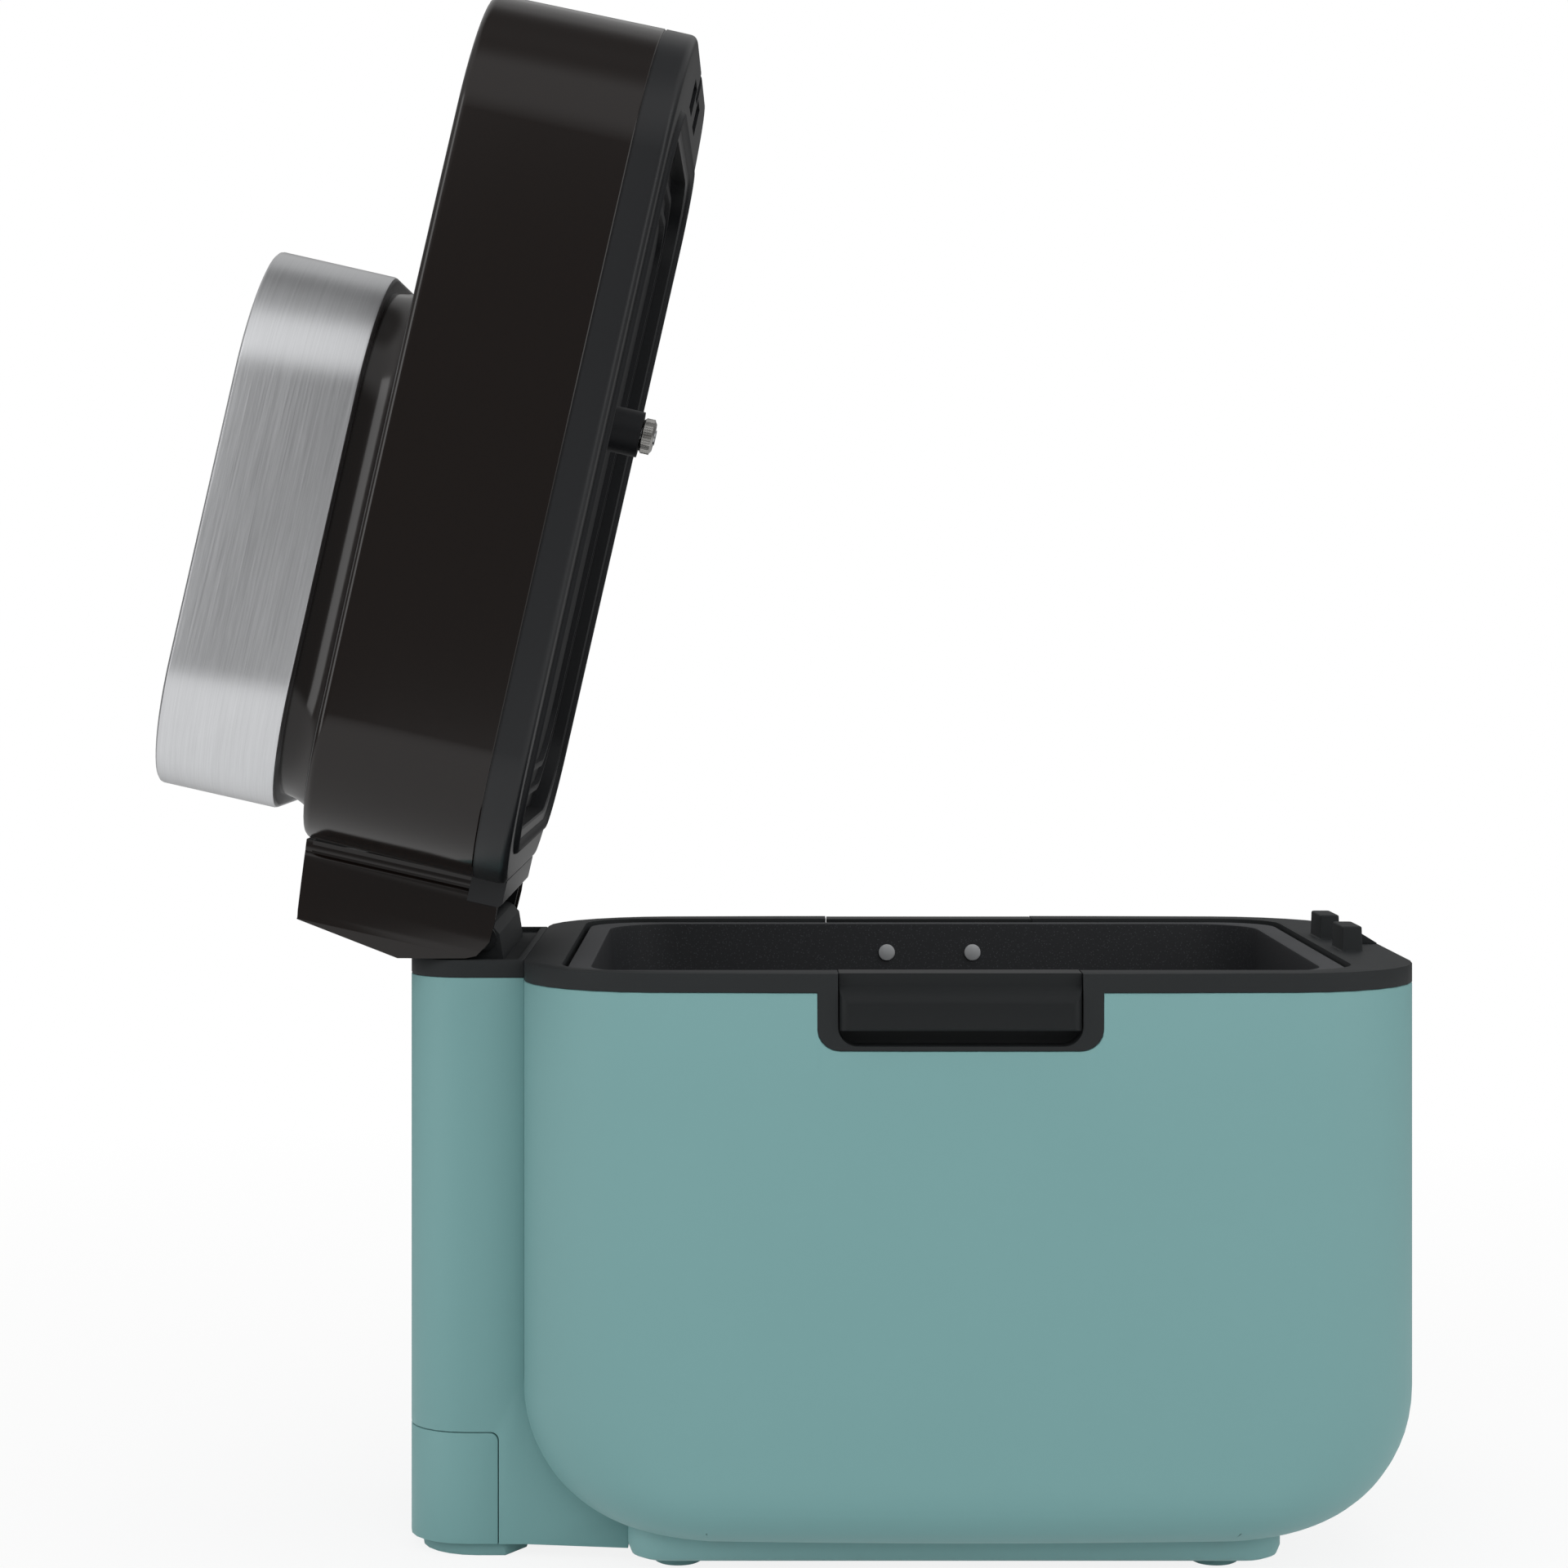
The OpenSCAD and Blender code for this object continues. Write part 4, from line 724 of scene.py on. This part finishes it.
def opening_ring(v, grow=0.0):
    """Ring of the trim's opening, spread over as many points as a lid ring."""
    points = outline(opening_length + 2 * grow, opening_width + 2 * grow, opening_corner + grow, 0,
                     (-0.09, -0.07, -0.04, 0, 0.04, 0.07, 0.09))
    return [on_lid(u + cover_u, y, v) for u, y in points]


cover_u0, cover_u1 = lid_span("inner_cover")[:2]
cover_u = (cover_u0 + cover_u1) / 2
opening_length = cover_u1 - cover_u0 + 0.0004
opening_width = 0.204
opening_corner = 0.034
trim_edge = 0.003
edge_arc = [math.radians(15 * k) for k in range(7)]
trim_rings = [opening_ring(trim_v1), opening_ring(trim_v0 + 0.0006), opening_ring(trim_v0, 0.0006)]
trim_rings += [lid_ring(trim_v0 + trim_edge * (1 - math.cos(a)), trim_edge * (1 - math.sin(a)))
               for a in edge_arc]
trim_rings += [lid_ring(trim_v1 - joint, 0), lid_ring(trim_v1 - joint, joint), lid_ring(trim_v1, joint)]
trim = loft("lid_trim_frame", trim_rings, closed=True)


def cut_slots(piece, boxes):
    """Cuts boxes, given as low and high (u, y, v) on the lid, out of a piece."""
    tool = bmesh.new()
    for low, high in boxes:
        made = bmesh.ops.create_cube(tool, size=1.0)["verts"]
        for corner in made:
            u, y, v = [low[i] if c < 0 else high[i] for i, c in enumerate(corner.co)]
            corner.co = on_lid(u, y, v)
    bmesh.ops.recalc_face_normals(tool, faces=tool.faces)
    mesh = bpy.data.meshes.new("slot_tool")
    tool.to_mesh(mesh)
    tool.free()
    cutter = placed("slot_tool", mesh)
    cut = piece.modifiers.new("slots", "BOOLEAN")
    cut.operation, cut.solver, cut.object = "DIFFERENCE", "EXACT", cutter
    piece.data = settled(piece)
    piece.modifiers.clear()
    bpy.data.objects.remove(cutter)
    return smooth(piece)


slot_u = post_x - hinge_at.x
slot_half_length = post_length / 2 + 0.0011
slot_half_width = post_width / 2 + 0.00125
catch_low, catch_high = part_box("lid_catch")
catch_half = (catch_high.y - catch_low.y) / 2 + 0.0015
catch_deep = catch_high.z - catch_low.z + 0.0016
slots = [((slot_u - slot_half_length, y - slot_half_width, trim_v0 - 0.001),
          (slot_u + slot_half_length, y + slot_half_width, trim_v1 + 0.001)) for y in (-post_y, post_y)]
slots.append(((catch_low.x - hinge_at.x - 0.002, -catch_half, trim_v0 - 0.001),
              (trim_u1 + 0.001, catch_half, trim_v0 + catch_deep)))
cut_slots(trim, slots)
# ASA: charcoal, a fine even satin from a blasted tool.
charcoal_asa = moulded("charcoal_asa", "#17181a", "#1a1b1d", 0.34, 0.0006, 0.00002,
                       Specular_IOR_Level=0.34)
fit(trim, "lid", charcoal_asa, "black_plastic", "lid_trim")

# A moulded foot behind the trim closes the gap over the hinge arms.
foot_u0, foot_u1 = trim_u0 - 0.0092, trim_u0 + 0.001
foot_y = tail_high.y - 0.0006
foot_round = 0.002
foot_turn = [math.radians(a) for a in (180, 202, 225, 247, 270)]
foot_section = [(foot_u1, trim_v1 + 0.001), (foot_u0, trim_v1 + 0.001), (foot_u0, trim_v1 - 0.001)]
foot_section += [(foot_u0 + foot_round * (1 + math.cos(a)), trim_v0 + 0.0025 + foot_round * math.sin(a))
                 for a in foot_turn]
foot_section.append((foot_u1, trim_v0 + 0.0005))
foot_rings = [[on_lid(u, y, v) for u, v in foot_section] for y in (-foot_y, foot_y)]
trim_foot = loft("trim_rear_foot", foot_rings)
fit(trim_foot, "lid", charcoal_asa, "black_plastic")

lid_wall = 0.0024
lid_lean = 0.001
lid_soft = 0.0034
neck_u0, neck_u1, neck_v0, neck_v1 = lid_span("head_neck")
head_u = (neck_u0 + neck_u1) / 2
head_length = neck_u1 - neck_u0
head_low, head_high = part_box("head_band")
head_width = head_high.y - head_low.y
head_corner = 0.048
hole_inset = 0.022


def head_ring(v, inset, steps=12):
    """Ring of the head, spread over as many points as a lid ring."""
    points = outline(head_length - 2 * inset, head_width - 2 * inset, head_corner - inset, 0,
                     (-0.05, -0.035, -0.02, 0, 0.02, 0.035, 0.05), steps)
    return [on_lid(u + head_u, y, v) for u, y in points]


soft_arc = [math.radians(a) for a in (0, 11, 22, 33, 44, 55, 66, 77, 90)]
shell_rings = [lid_ring(shell_v0, lid_wall), lid_ring(shell_v0, 0.0003), lid_ring(shell_v0 + 0.0004, 0),
               lid_ring(shell_v0 + 0.02, lid_lean * 0.33), lid_ring(shell_v0 + 0.04, lid_lean * 0.67)]
shell_rings += [lid_ring(shell_v1 - lid_soft * (1 - math.sin(a)), lid_lean + lid_soft * (1 - math.cos(a)))
                for a in soft_arc]
shell_rings += [head_ring(shell_v1, hole_inset), head_ring(shell_v1 - lid_wall, hole_inset),
                lid_ring(shell_v1 - lid_wall, lid_wall + lid_lean + 0.002),
                lid_ring(shell_v1 - lid_soft, lid_wall + lid_lean)]
shell = loft("lid_shell_lacquered", shell_rings, closed=True)
fit(shell, "lid", brown_lacquer, "gloss_brown", "lid_shell")


# ---- Lid seal and inner cover ------------------------------------------------------
# A round silicone bead runs round the trim and closes on the pan's flange. The
# ribbed inner cover is held by one knurled nut on a stud, so that it comes off.

bead_u0, bead_u1, bead_v0, bead_v1 = lid_span("lid_gasket")
bead_low, bead_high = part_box("lid_gasket")
bead_half = 0.0025
bead_length = bead_u1 - bead_u0 - 2 * bead_half
bead_width = bead_high.y - bead_low.y - 2 * bead_half
bead_corner = 0.030
bead_u = (bead_u0 + bead_u1) / 2


def bead_ring(grow, v):
    return [on_lid(u + bead_u, y, v)
            for u, y in outline(bead_length + 2 * grow, bead_width + 2 * grow, bead_corner + grow)]


bead_drop = bead_v1 - bead_v0
round_drop = bead_drop - bead_half
reach = math.degrees(math.asin(min(round_drop / bead_half, 1)))
bead_arc = [math.radians(180 - reach + k * (180 + 2 * reach) / 16) for k in range(17)]
bead_rings = [bead_ring(bead_half * math.cos(a), bead_v0 + bead_half * (1 + math.sin(a))) for a in bead_arc]
bead = loft("lid_seal_bead", bead_rings, closed=True)
# Silicone: black, soft and slightly shiny.
black_silicone = moulded("black_silicone", "#17181a", "#1a1b1d", 0.5, 0.0010, 0.00002,
                         Specular_IOR_Level=0.15)
fit(bead, "lid", black_silicone, "seal_rubber", "lid_gasket")

# PPS: heat-proof black plastic, a little glassy at the ribs' edges.
black_pps = moulded("black_pps", "#17181a", "#1a1b1d", 0.5, 0.0009, 0.00004, Specular_IOR_Level=0.15)
soften("inner_cover", "ribbed_inner_cover", 0.0005, "lid", black_pps, "inner_plastic")
dress(black_pps, "lid_switches")
soften("heat_shield", "heat_shield_plate", 0, "lid", pan_coat, "pan_coating")
dress(spun_aluminium, "circulation_fan")
dress(ground_steel, "cover_stud")

nut_low, nut_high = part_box("thumb_nut")
nut_u0, nut_u1, nut_v0, nut_v1 = lid_span("thumb_nut")
nut_radius = (nut_high.y - nut_low.y) / 2
nut_height = nut_v1 - nut_v0
nut_bore = 0.00305
ridge_depth = 0.0005
nut_body = nut_radius - ridge_depth * 0.8

knurl_tree, entry = new_tree("knurled_rim", {"Ridges": "Int", "Radius": "Float", "Height": "Float",
                             "Lift": "Float", "Depth": "Float", "Body": "Object", "Material": "Material"})
spots = add_node(knurl_tree, "GeometryNodeMeshCircle", {"Vertices": entry["Ridges"],
                                                        "Radius": entry["Radius"]})
size = add_node(knurl_tree, "ShaderNodeCombineXYZ", {"X": entry["Depth"], "Y":
                entry["Depth"], "Z": entry["Height"]})
ridge = add_node(knurl_tree, "GeometryNodeMeshCube", {"Size": size.outputs["Vector"]})
spot = add_node(knurl_tree, "GeometryNodeInputPosition")
outward = add_node(knurl_tree, "FunctionNodeAlignRotationToVector", {"Vector": spot.outputs["Position"]},
                   axis="X")
twist = add_node(knurl_tree, "FunctionNodeRotateRotation", {"Rotation": outward.outputs["Rotation"],
                 "Rotate By": (0, 0, math.radians(45))}, rotation_space="LOCAL")
ridges = add_node(knurl_tree, "GeometryNodeInstanceOnPoints", {"Points": spots.outputs["Mesh"], "Instance":
                  ridge.outputs["Mesh"], "Rotation": twist.outputs["Rotation"]})
lift = add_node(knurl_tree, "ShaderNodeCombineXYZ", {"Z": entry["Lift"]})
raised = add_node(knurl_tree, "GeometryNodeTransform", {"Geometry": ridges.outputs["Instances"],
                  "Translation": lift.outputs["Vector"]})
core = add_node(knurl_tree, "GeometryNodeObjectInfo", {"Object": entry["Body"]})
whole = add_node(knurl_tree, "GeometryNodeJoinGeometry")
knurl_tree.links.new(core.outputs["Geometry"], whole.inputs["Geometry"])
knurl_tree.links.new(raised.outputs["Geometry"], whole.inputs["Geometry"])
end_tree(knurl_tree, entry, whole.outputs["Geometry"])

ridge_count = 44
nut_profile = [(nut_bore, 0.0), (nut_body - 0.0012, 0.0), (nut_body, 0.0008),
               (nut_body, nut_height - 0.0006), (nut_body - 0.0006, nut_height), (nut_bore, nut_height)]
nut_core = turned("nut_core", nut_profile, ridge_count, closed=True)
# Nickel-plated brass: bright and slightly warm, rounded at the knurl.
nickel_plate = metal("nickel_plate", "#b5b4b1", 0.26, 0.05, 0.0007, 0.00001)
nut = grown("knurled_nut", knurl_tree, Ridges=ridge_count, Radius=nut_body, Height=nut_height - 0.0016,
            Lift=nut_height / 2, Depth=ridge_depth, Body=nut_core, Material=nickel_plate)
bpy.data.objects.remove(nut_core)
to_lid = Matrix((forward.to_4d(), (0, 1, 0, 0), upward.to_4d(), (0, 0, 0, 1))).transposed()
for row in range(3):
    to_lid[row][3] = on_lid((nut_u0 + nut_u1) / 2, 0, nut_v0)[row]
to_lid[3] = (0, 0, 0, 1)
for vertex in nut.data.vertices:
    vertex.co = to_lid @ vertex.co
smooth(nut)
fit(nut, "nut", nickel_plate, "bright_steel", "thumb_nut")


# ---- Control head ------------------------------------------------------------
# The head is a wide band of brushed stainless strip, bent round its corners and
# chamfered, on a flared lacquered neck. Black glass with touch keys closes its top.

flare_depth = 0.0055
neck_height = neck_v1 - neck_v0
neck_steps = [k / 12 for k in range(13)]


def flare(share):
    """How far the neck is drawn in at a share of its height."""
    return flare_depth * (1 - (1 - share) ** 2.4)


neck_rings = [head_ring(neck_v0 + t * neck_height, flare(t)) for t in neck_steps]
neck_rings += [head_ring(neck_v0 + t * neck_height, flare(t) + lid_wall) for t in reversed(neck_steps)]
neck = loft("flared_neck", neck_rings, closed=True)
fit(neck, "lid", brown_lacquer, "gloss_brown", "head_neck")

band_u0, band_u1, band_v0, band_v1 = lid_span("head_band")
chamfer = 0.0012
strip = 0.0015
burr = 0.0004


def band_profile():
    """Section of the band as (height, inset), round the wall and back."""
    low, high = band_v0, band_v1 - 0.0004
    edge = [(chamfer + burr, 0), (chamfer - burr, burr * 0.6), (burr * 0.4, chamfer - burr * 0.4),
            (0, chamfer + burr)]
    outer = [(low + v, inset) for v, inset in reversed(edge)] + [(high - v, inset) for v, inset in edge]
    inner = [(high, chamfer + strip - burr), (high - burr, chamfer + strip), (low + strip, chamfer + strip)]
    return [(low, flare_depth + lid_wall)] + outer + inner + [(low + strip, flare_depth + lid_wall)]


band = loft("brushed_band", [head_ring(v, inset, 20) for v, inset in band_profile()], closed=True)


def brushed_strip(name, colour, bright):
    """Brushed stainless strip: lines run along it, drawn 1 mm apart so that they show, and none across."""
    material, tree, shader = finish(name, Metallic=1.0, Anisotropic=0.6, Anisotropic_Rotation=0.25)
    place = object_place(tree)
    level = add_node(tree, "ShaderNodeVectorMath", {0: place, 1: tuple(upward)}, operation="DOT_PRODUCT")
    spread = add_node(tree, "ShaderNodeVectorMath", {0: place, "Scale": 0.012}, operation="SCALE")
    row = add_node(tree, "ShaderNodeCombineXYZ", {"X": level.outputs["Value"]})
    along = add_node(tree, "ShaderNodeVectorMath", {0: row.outputs["Vector"], 1: spread.outputs["Vector"]})
    lines = noise(tree, along.outputs["Vector"], 1500.0, 5.0, Roughness=0.8)
    tinted(tree, shader, ramp(tree, lines, 0.35, 0.65, 0.0, 1.0), colour, bright)
    tree.links.new(ramp(tree, lines, 0.3, 0.7, 0.28, 0.42), shader.inputs["Roughness"])
    embossed(tree, shader, lines, 0.00002, 0.5)
    around = add_node(tree, "ShaderNodeTangent", direction_type="RADIAL", axis="X")
    tree.links.new(around.outputs["Tangent"], shader.inputs["Tangent"])
    return material


brushed_steel = brushed_strip("brushed_stainless", "#c6c7c9", "#d4d5d7")
fit(band, "lid", brushed_steel, "brushed_steel", "head_band")

glass_u0, glass_u1, glass_v0, glass_v1 = lid_span("control_glass")
glass_inset = (band_u1 - band_u0 - (glass_u1 - glass_u0)) / 2
glass_edge = 0.0006
glass_rings = [head_ring(glass_v0, glass_inset), head_ring(glass_v1 - glass_edge, glass_inset),
               head_ring(glass_v1 - glass_edge * 0.3, glass_inset + glass_edge * 0.3),
               head_ring(glass_v1, glass_inset + glass_edge)]
glass = loft("touch_glass", glass_rings)
# Back-painted glass: black and mirror smooth.
black_glass, tree, shader = finish("back_painted_glass", Base_Color=linear("#0d0e0f"), Roughness=0.06,
                                   Coat_Weight=0.4, Coat_Roughness=0.03)
embossed(tree, shader, noise(tree, object_place(tree), 14.0, 0.0), 0.00008, 0.2)
fit(glass, "lid", black_glass, "black_glass", "control_glass")

# Printed rings mark the touch keys, beside the window of the display.
ring_tree, entry = new_tree("touch_keys", {"Keys": "Int", "Spacing": "Vector", "Radius": "Float",
                            "Line": "Float", "Material": "Material"})
row = add_node(ring_tree, "GeometryNodeMeshLine", {"Count": entry["Keys"], "Offset":
                                                   entry["Spacing"]})
path = add_node(ring_tree, "GeometryNodeCurvePrimitiveCircle", {"Resolution": 40, "Radius":
                entry["Radius"]}, mode="RADIUS")
section = add_node(ring_tree, "GeometryNodeCurvePrimitiveQuadrilateral", {"Width": entry["Line"],
                   "Height": 0.00012}, mode="RECTANGLE")
printed = add_node(ring_tree, "GeometryNodeCurveToMesh", {"Curve": path.outputs["Curve"],
                   "Profile Curve": section.outputs["Curve"]})
keys = add_node(ring_tree, "GeometryNodeInstanceOnPoints", {"Points": row.outputs["Mesh"],
                "Instance": printed.outputs["Mesh"]})
end_tree(ring_tree, entry, keys.outputs["Instances"])

# Screen-printed ceramic ink: pale grey, matt and flat.
pale_ink = moulded("ceramic_ink", "#a9acae", "#a1a4a6", 0.55, 0.0005, 0.00001)
key_radius = 0.0065
key_spacing = 0.021
key_count = 7
key_u = head_u + 0.012
first_key = -(key_count - 1) / 2 * key_spacing
marks = grown("touch_key_rings", ring_tree, Keys=key_count, Spacing=(0, key_spacing, 0), Radius=key_radius,
              Line=0.0006, Material=pale_ink)
for vertex in marks.data.vertices:
    u, y, v = vertex.co
    vertex.co = on_lid(u + key_u, y + first_key, v + glass_v1)
smooth(marks)
fit(marks, "lid", pale_ink, "black_glass")

window_length, window_width, window_corner = 0.034, 0.074, 0.003
window_u = head_u - 0.034
window_rings = [[on_lid(u + window_u, y, v) for u, y in outline(window_length - 2 * g, window_width - 2 * g,
                 window_corner)] for v, g in ((glass_v1 - 0.0002, 0), (glass_v1 + 0.00006, 0),
                                              (glass_v1 + 0.0001, 0.0001))]
window = loft("display_window", window_rings)
# Tinted acrylic: a smoky grey that shows the dark display behind it.
smoked_acrylic = moulded("smoked_acrylic", "#1c2124", "#1e2427", 0.12, 0.0010, 0.000004)
fit(window, "lid", smoked_acrylic, "black_glass")


# ---- Table, backdrop, light and camera ------------------------------------------
# A pale table runs back to a white room. A wide soft box hangs in front, with smaller
# ones left, right and overhead. The camera looks level across the machine's side.

def combined(tree, operation, first, second):
    """Two values put together by a mathematical operation."""
    return add_node(tree, "ShaderNodeMath", {0: first, 1: second}, operation=operation).outputs["Value"]


def looked_at(tree):
    """One for rays that look at the surroundings, straight, in a reflection or through glass."""
    ray = add_node(tree, "ShaderNodeLightPath").outputs
    mirrored = combined(tree, "MAXIMUM", ray["Is Glossy Ray"], ray["Is Transmission Ray"])
    return combined(tree, "MAXIMUM", ray["Is Camera Ray"], mirrored)


def unless_straight(tree, strength):
    """Full strength where the camera looks straight at the surroundings, and this strength elsewhere."""
    ray = add_node(tree, "ShaderNodeLightPath").outputs
    return combined(tree, "MAXIMUM", strength, ray["Is Camera Ray"])


floor_mesh = bpy.data.meshes.new("table")
floor_half = 9.0
floor_mesh.from_pydata([(-floor_half, -floor_half, 0), (floor_half, -floor_half, 0),
                        (floor_half, floor_half, 0), (-floor_half, floor_half, 0)], [], [(0, 1, 2, 3)])
table = placed("table", floor_mesh)
pale_table = bpy.data.materials.new("pale_table")
pale_table.use_nodes = True
tree = pale_table.node_tree
tree.nodes.clear()
paper = add_node(tree, "ShaderNodeBsdfDiffuse", {"Color": (0.92, 0.92, 0.92, 1)})
place = object_place(tree)
reach = add_node(tree, "ShaderNodeVectorMath", {0: place}, operation="LENGTH").outputs["Value"]
depth = add_node(tree, "ShaderNodeSeparateXYZ", {"Vector": place}).outputs["Y"]
# In a reflection the table is dimmer far away and behind the machine, as the room is.
shown = combined(tree, "MULTIPLY", ramp(tree, reach, 1.5, 3.6, 1.0, 0.3),
                 ramp(tree, depth, 0.0, 0.5, 1.0, 0.5))
glow = add_node(tree, "ShaderNodeEmission", {"Color": (1, 1, 1, 1), "Strength": unless_straight(tree, shown)})
# Round the machine the table itself shows, with its shadow; further out it is as white as the room.
share = combined(tree, "MULTIPLY", looked_at(tree), ramp(tree, reach, 0.25, 1.1, 0.86, 1.0))
mixed = add_node(tree, "ShaderNodeMixShader", {0: share, 1: paper.outputs["BSDF"],
                                               2: glow.outputs["Emission"]})
add_node(tree, "ShaderNodeOutputMaterial", {"Surface": mixed.outputs["Shader"]})
floor_mesh.materials.append(pale_table)

world = bpy.data.worlds.new("white_room")
bpy.context.scene.world = world
world.use_nodes = True
tree = world.node_tree
tree.nodes.clear()
room_light = 0.5
# In a reflection the white room is dimmer at the table's level, overhead and behind the machine.
generated = add_node(tree, "ShaderNodeTexCoord").outputs["Generated"]
way = add_node(tree, "ShaderNodeSeparateXYZ", {"Vector": generated}).outputs
smoothly = {"interpolation_type": "SMOOTHSTEP"}
rise = ramp(tree, way["Z"], 0.16, 0.46, 0.30, 1.0, **smoothly)
ceiling = ramp(tree, way["Z"], 0.80, 0.96, 1.0, 0.4, **smoothly)
behind = ramp(tree, way["Y"], -0.2, 0.3, 1.0, 0.6, **smoothly)
around = combined(tree, "MULTIPLY", combined(tree, "MULTIPLY", rise, ceiling), behind)
white = add_node(tree, "ShaderNodeBackground", {"Color": (1, 1, 1, 1),
                                                "Strength": unless_straight(tree, around)})
room = add_node(tree, "ShaderNodeBackground", {"Color": (1, 1, 1, 1), "Strength": room_light})
mixed = add_node(tree, "ShaderNodeMixShader", {0: looked_at(tree), 1: room.outputs["Background"],
                                               2: white.outputs["Background"]})
add_node(tree, "ShaderNodeOutputWorld", {"Surface": mixed.outputs["Shader"]})


def soft_box(name, place, aim, width, height, power, mirrored=True):
    """Softbox at a place, turned to a point; it may be kept out of reflections."""
    light = bpy.data.lights.new(name, "AREA")
    light.shape, light.size, light.size_y, light.energy = "RECTANGLE", width, height, power
    lamp = placed(name, light)
    lamp.location = place
    lamp.visible_glossy = mirrored
    lamp.rotation_euler = (Vector(aim) - Vector(place)).to_track_quat("-Z", "Y").to_euler()


middle = (0.03, 0, 0.25)
soft_box("front_box", (0.2, -2.0, 1.5), middle, 2.6, 1.5, 14, mirrored=False)
soft_box("left_box", (-2.0, -1.1, 0.8), middle, 0.9, 1.6, 10)
soft_box("right_box", (2.0, -1.1, 0.8), middle, 0.9, 1.6, 8)
soft_box("top_box", (0, 0.2, 2.3), middle, 1.8, 1.4, 12, mirrored=False)

camera_data = bpy.data.cameras.new("camera")
camera_data.lens = 80.96
camera_data.sensor_width = 36
camera_data.shift_x = 0.0144
camera_data.shift_y = -0.0979
camera_data.clip_end = 60
camera = placed("camera", camera_data)
camera.location = (-0.0079, -1.373, 0.3419)
camera.rotation_euler = (math.radians(90), 0, 0)
bpy.context.scene.camera = camera
bpy.context.scene.view_settings.view_transform = "Standard"
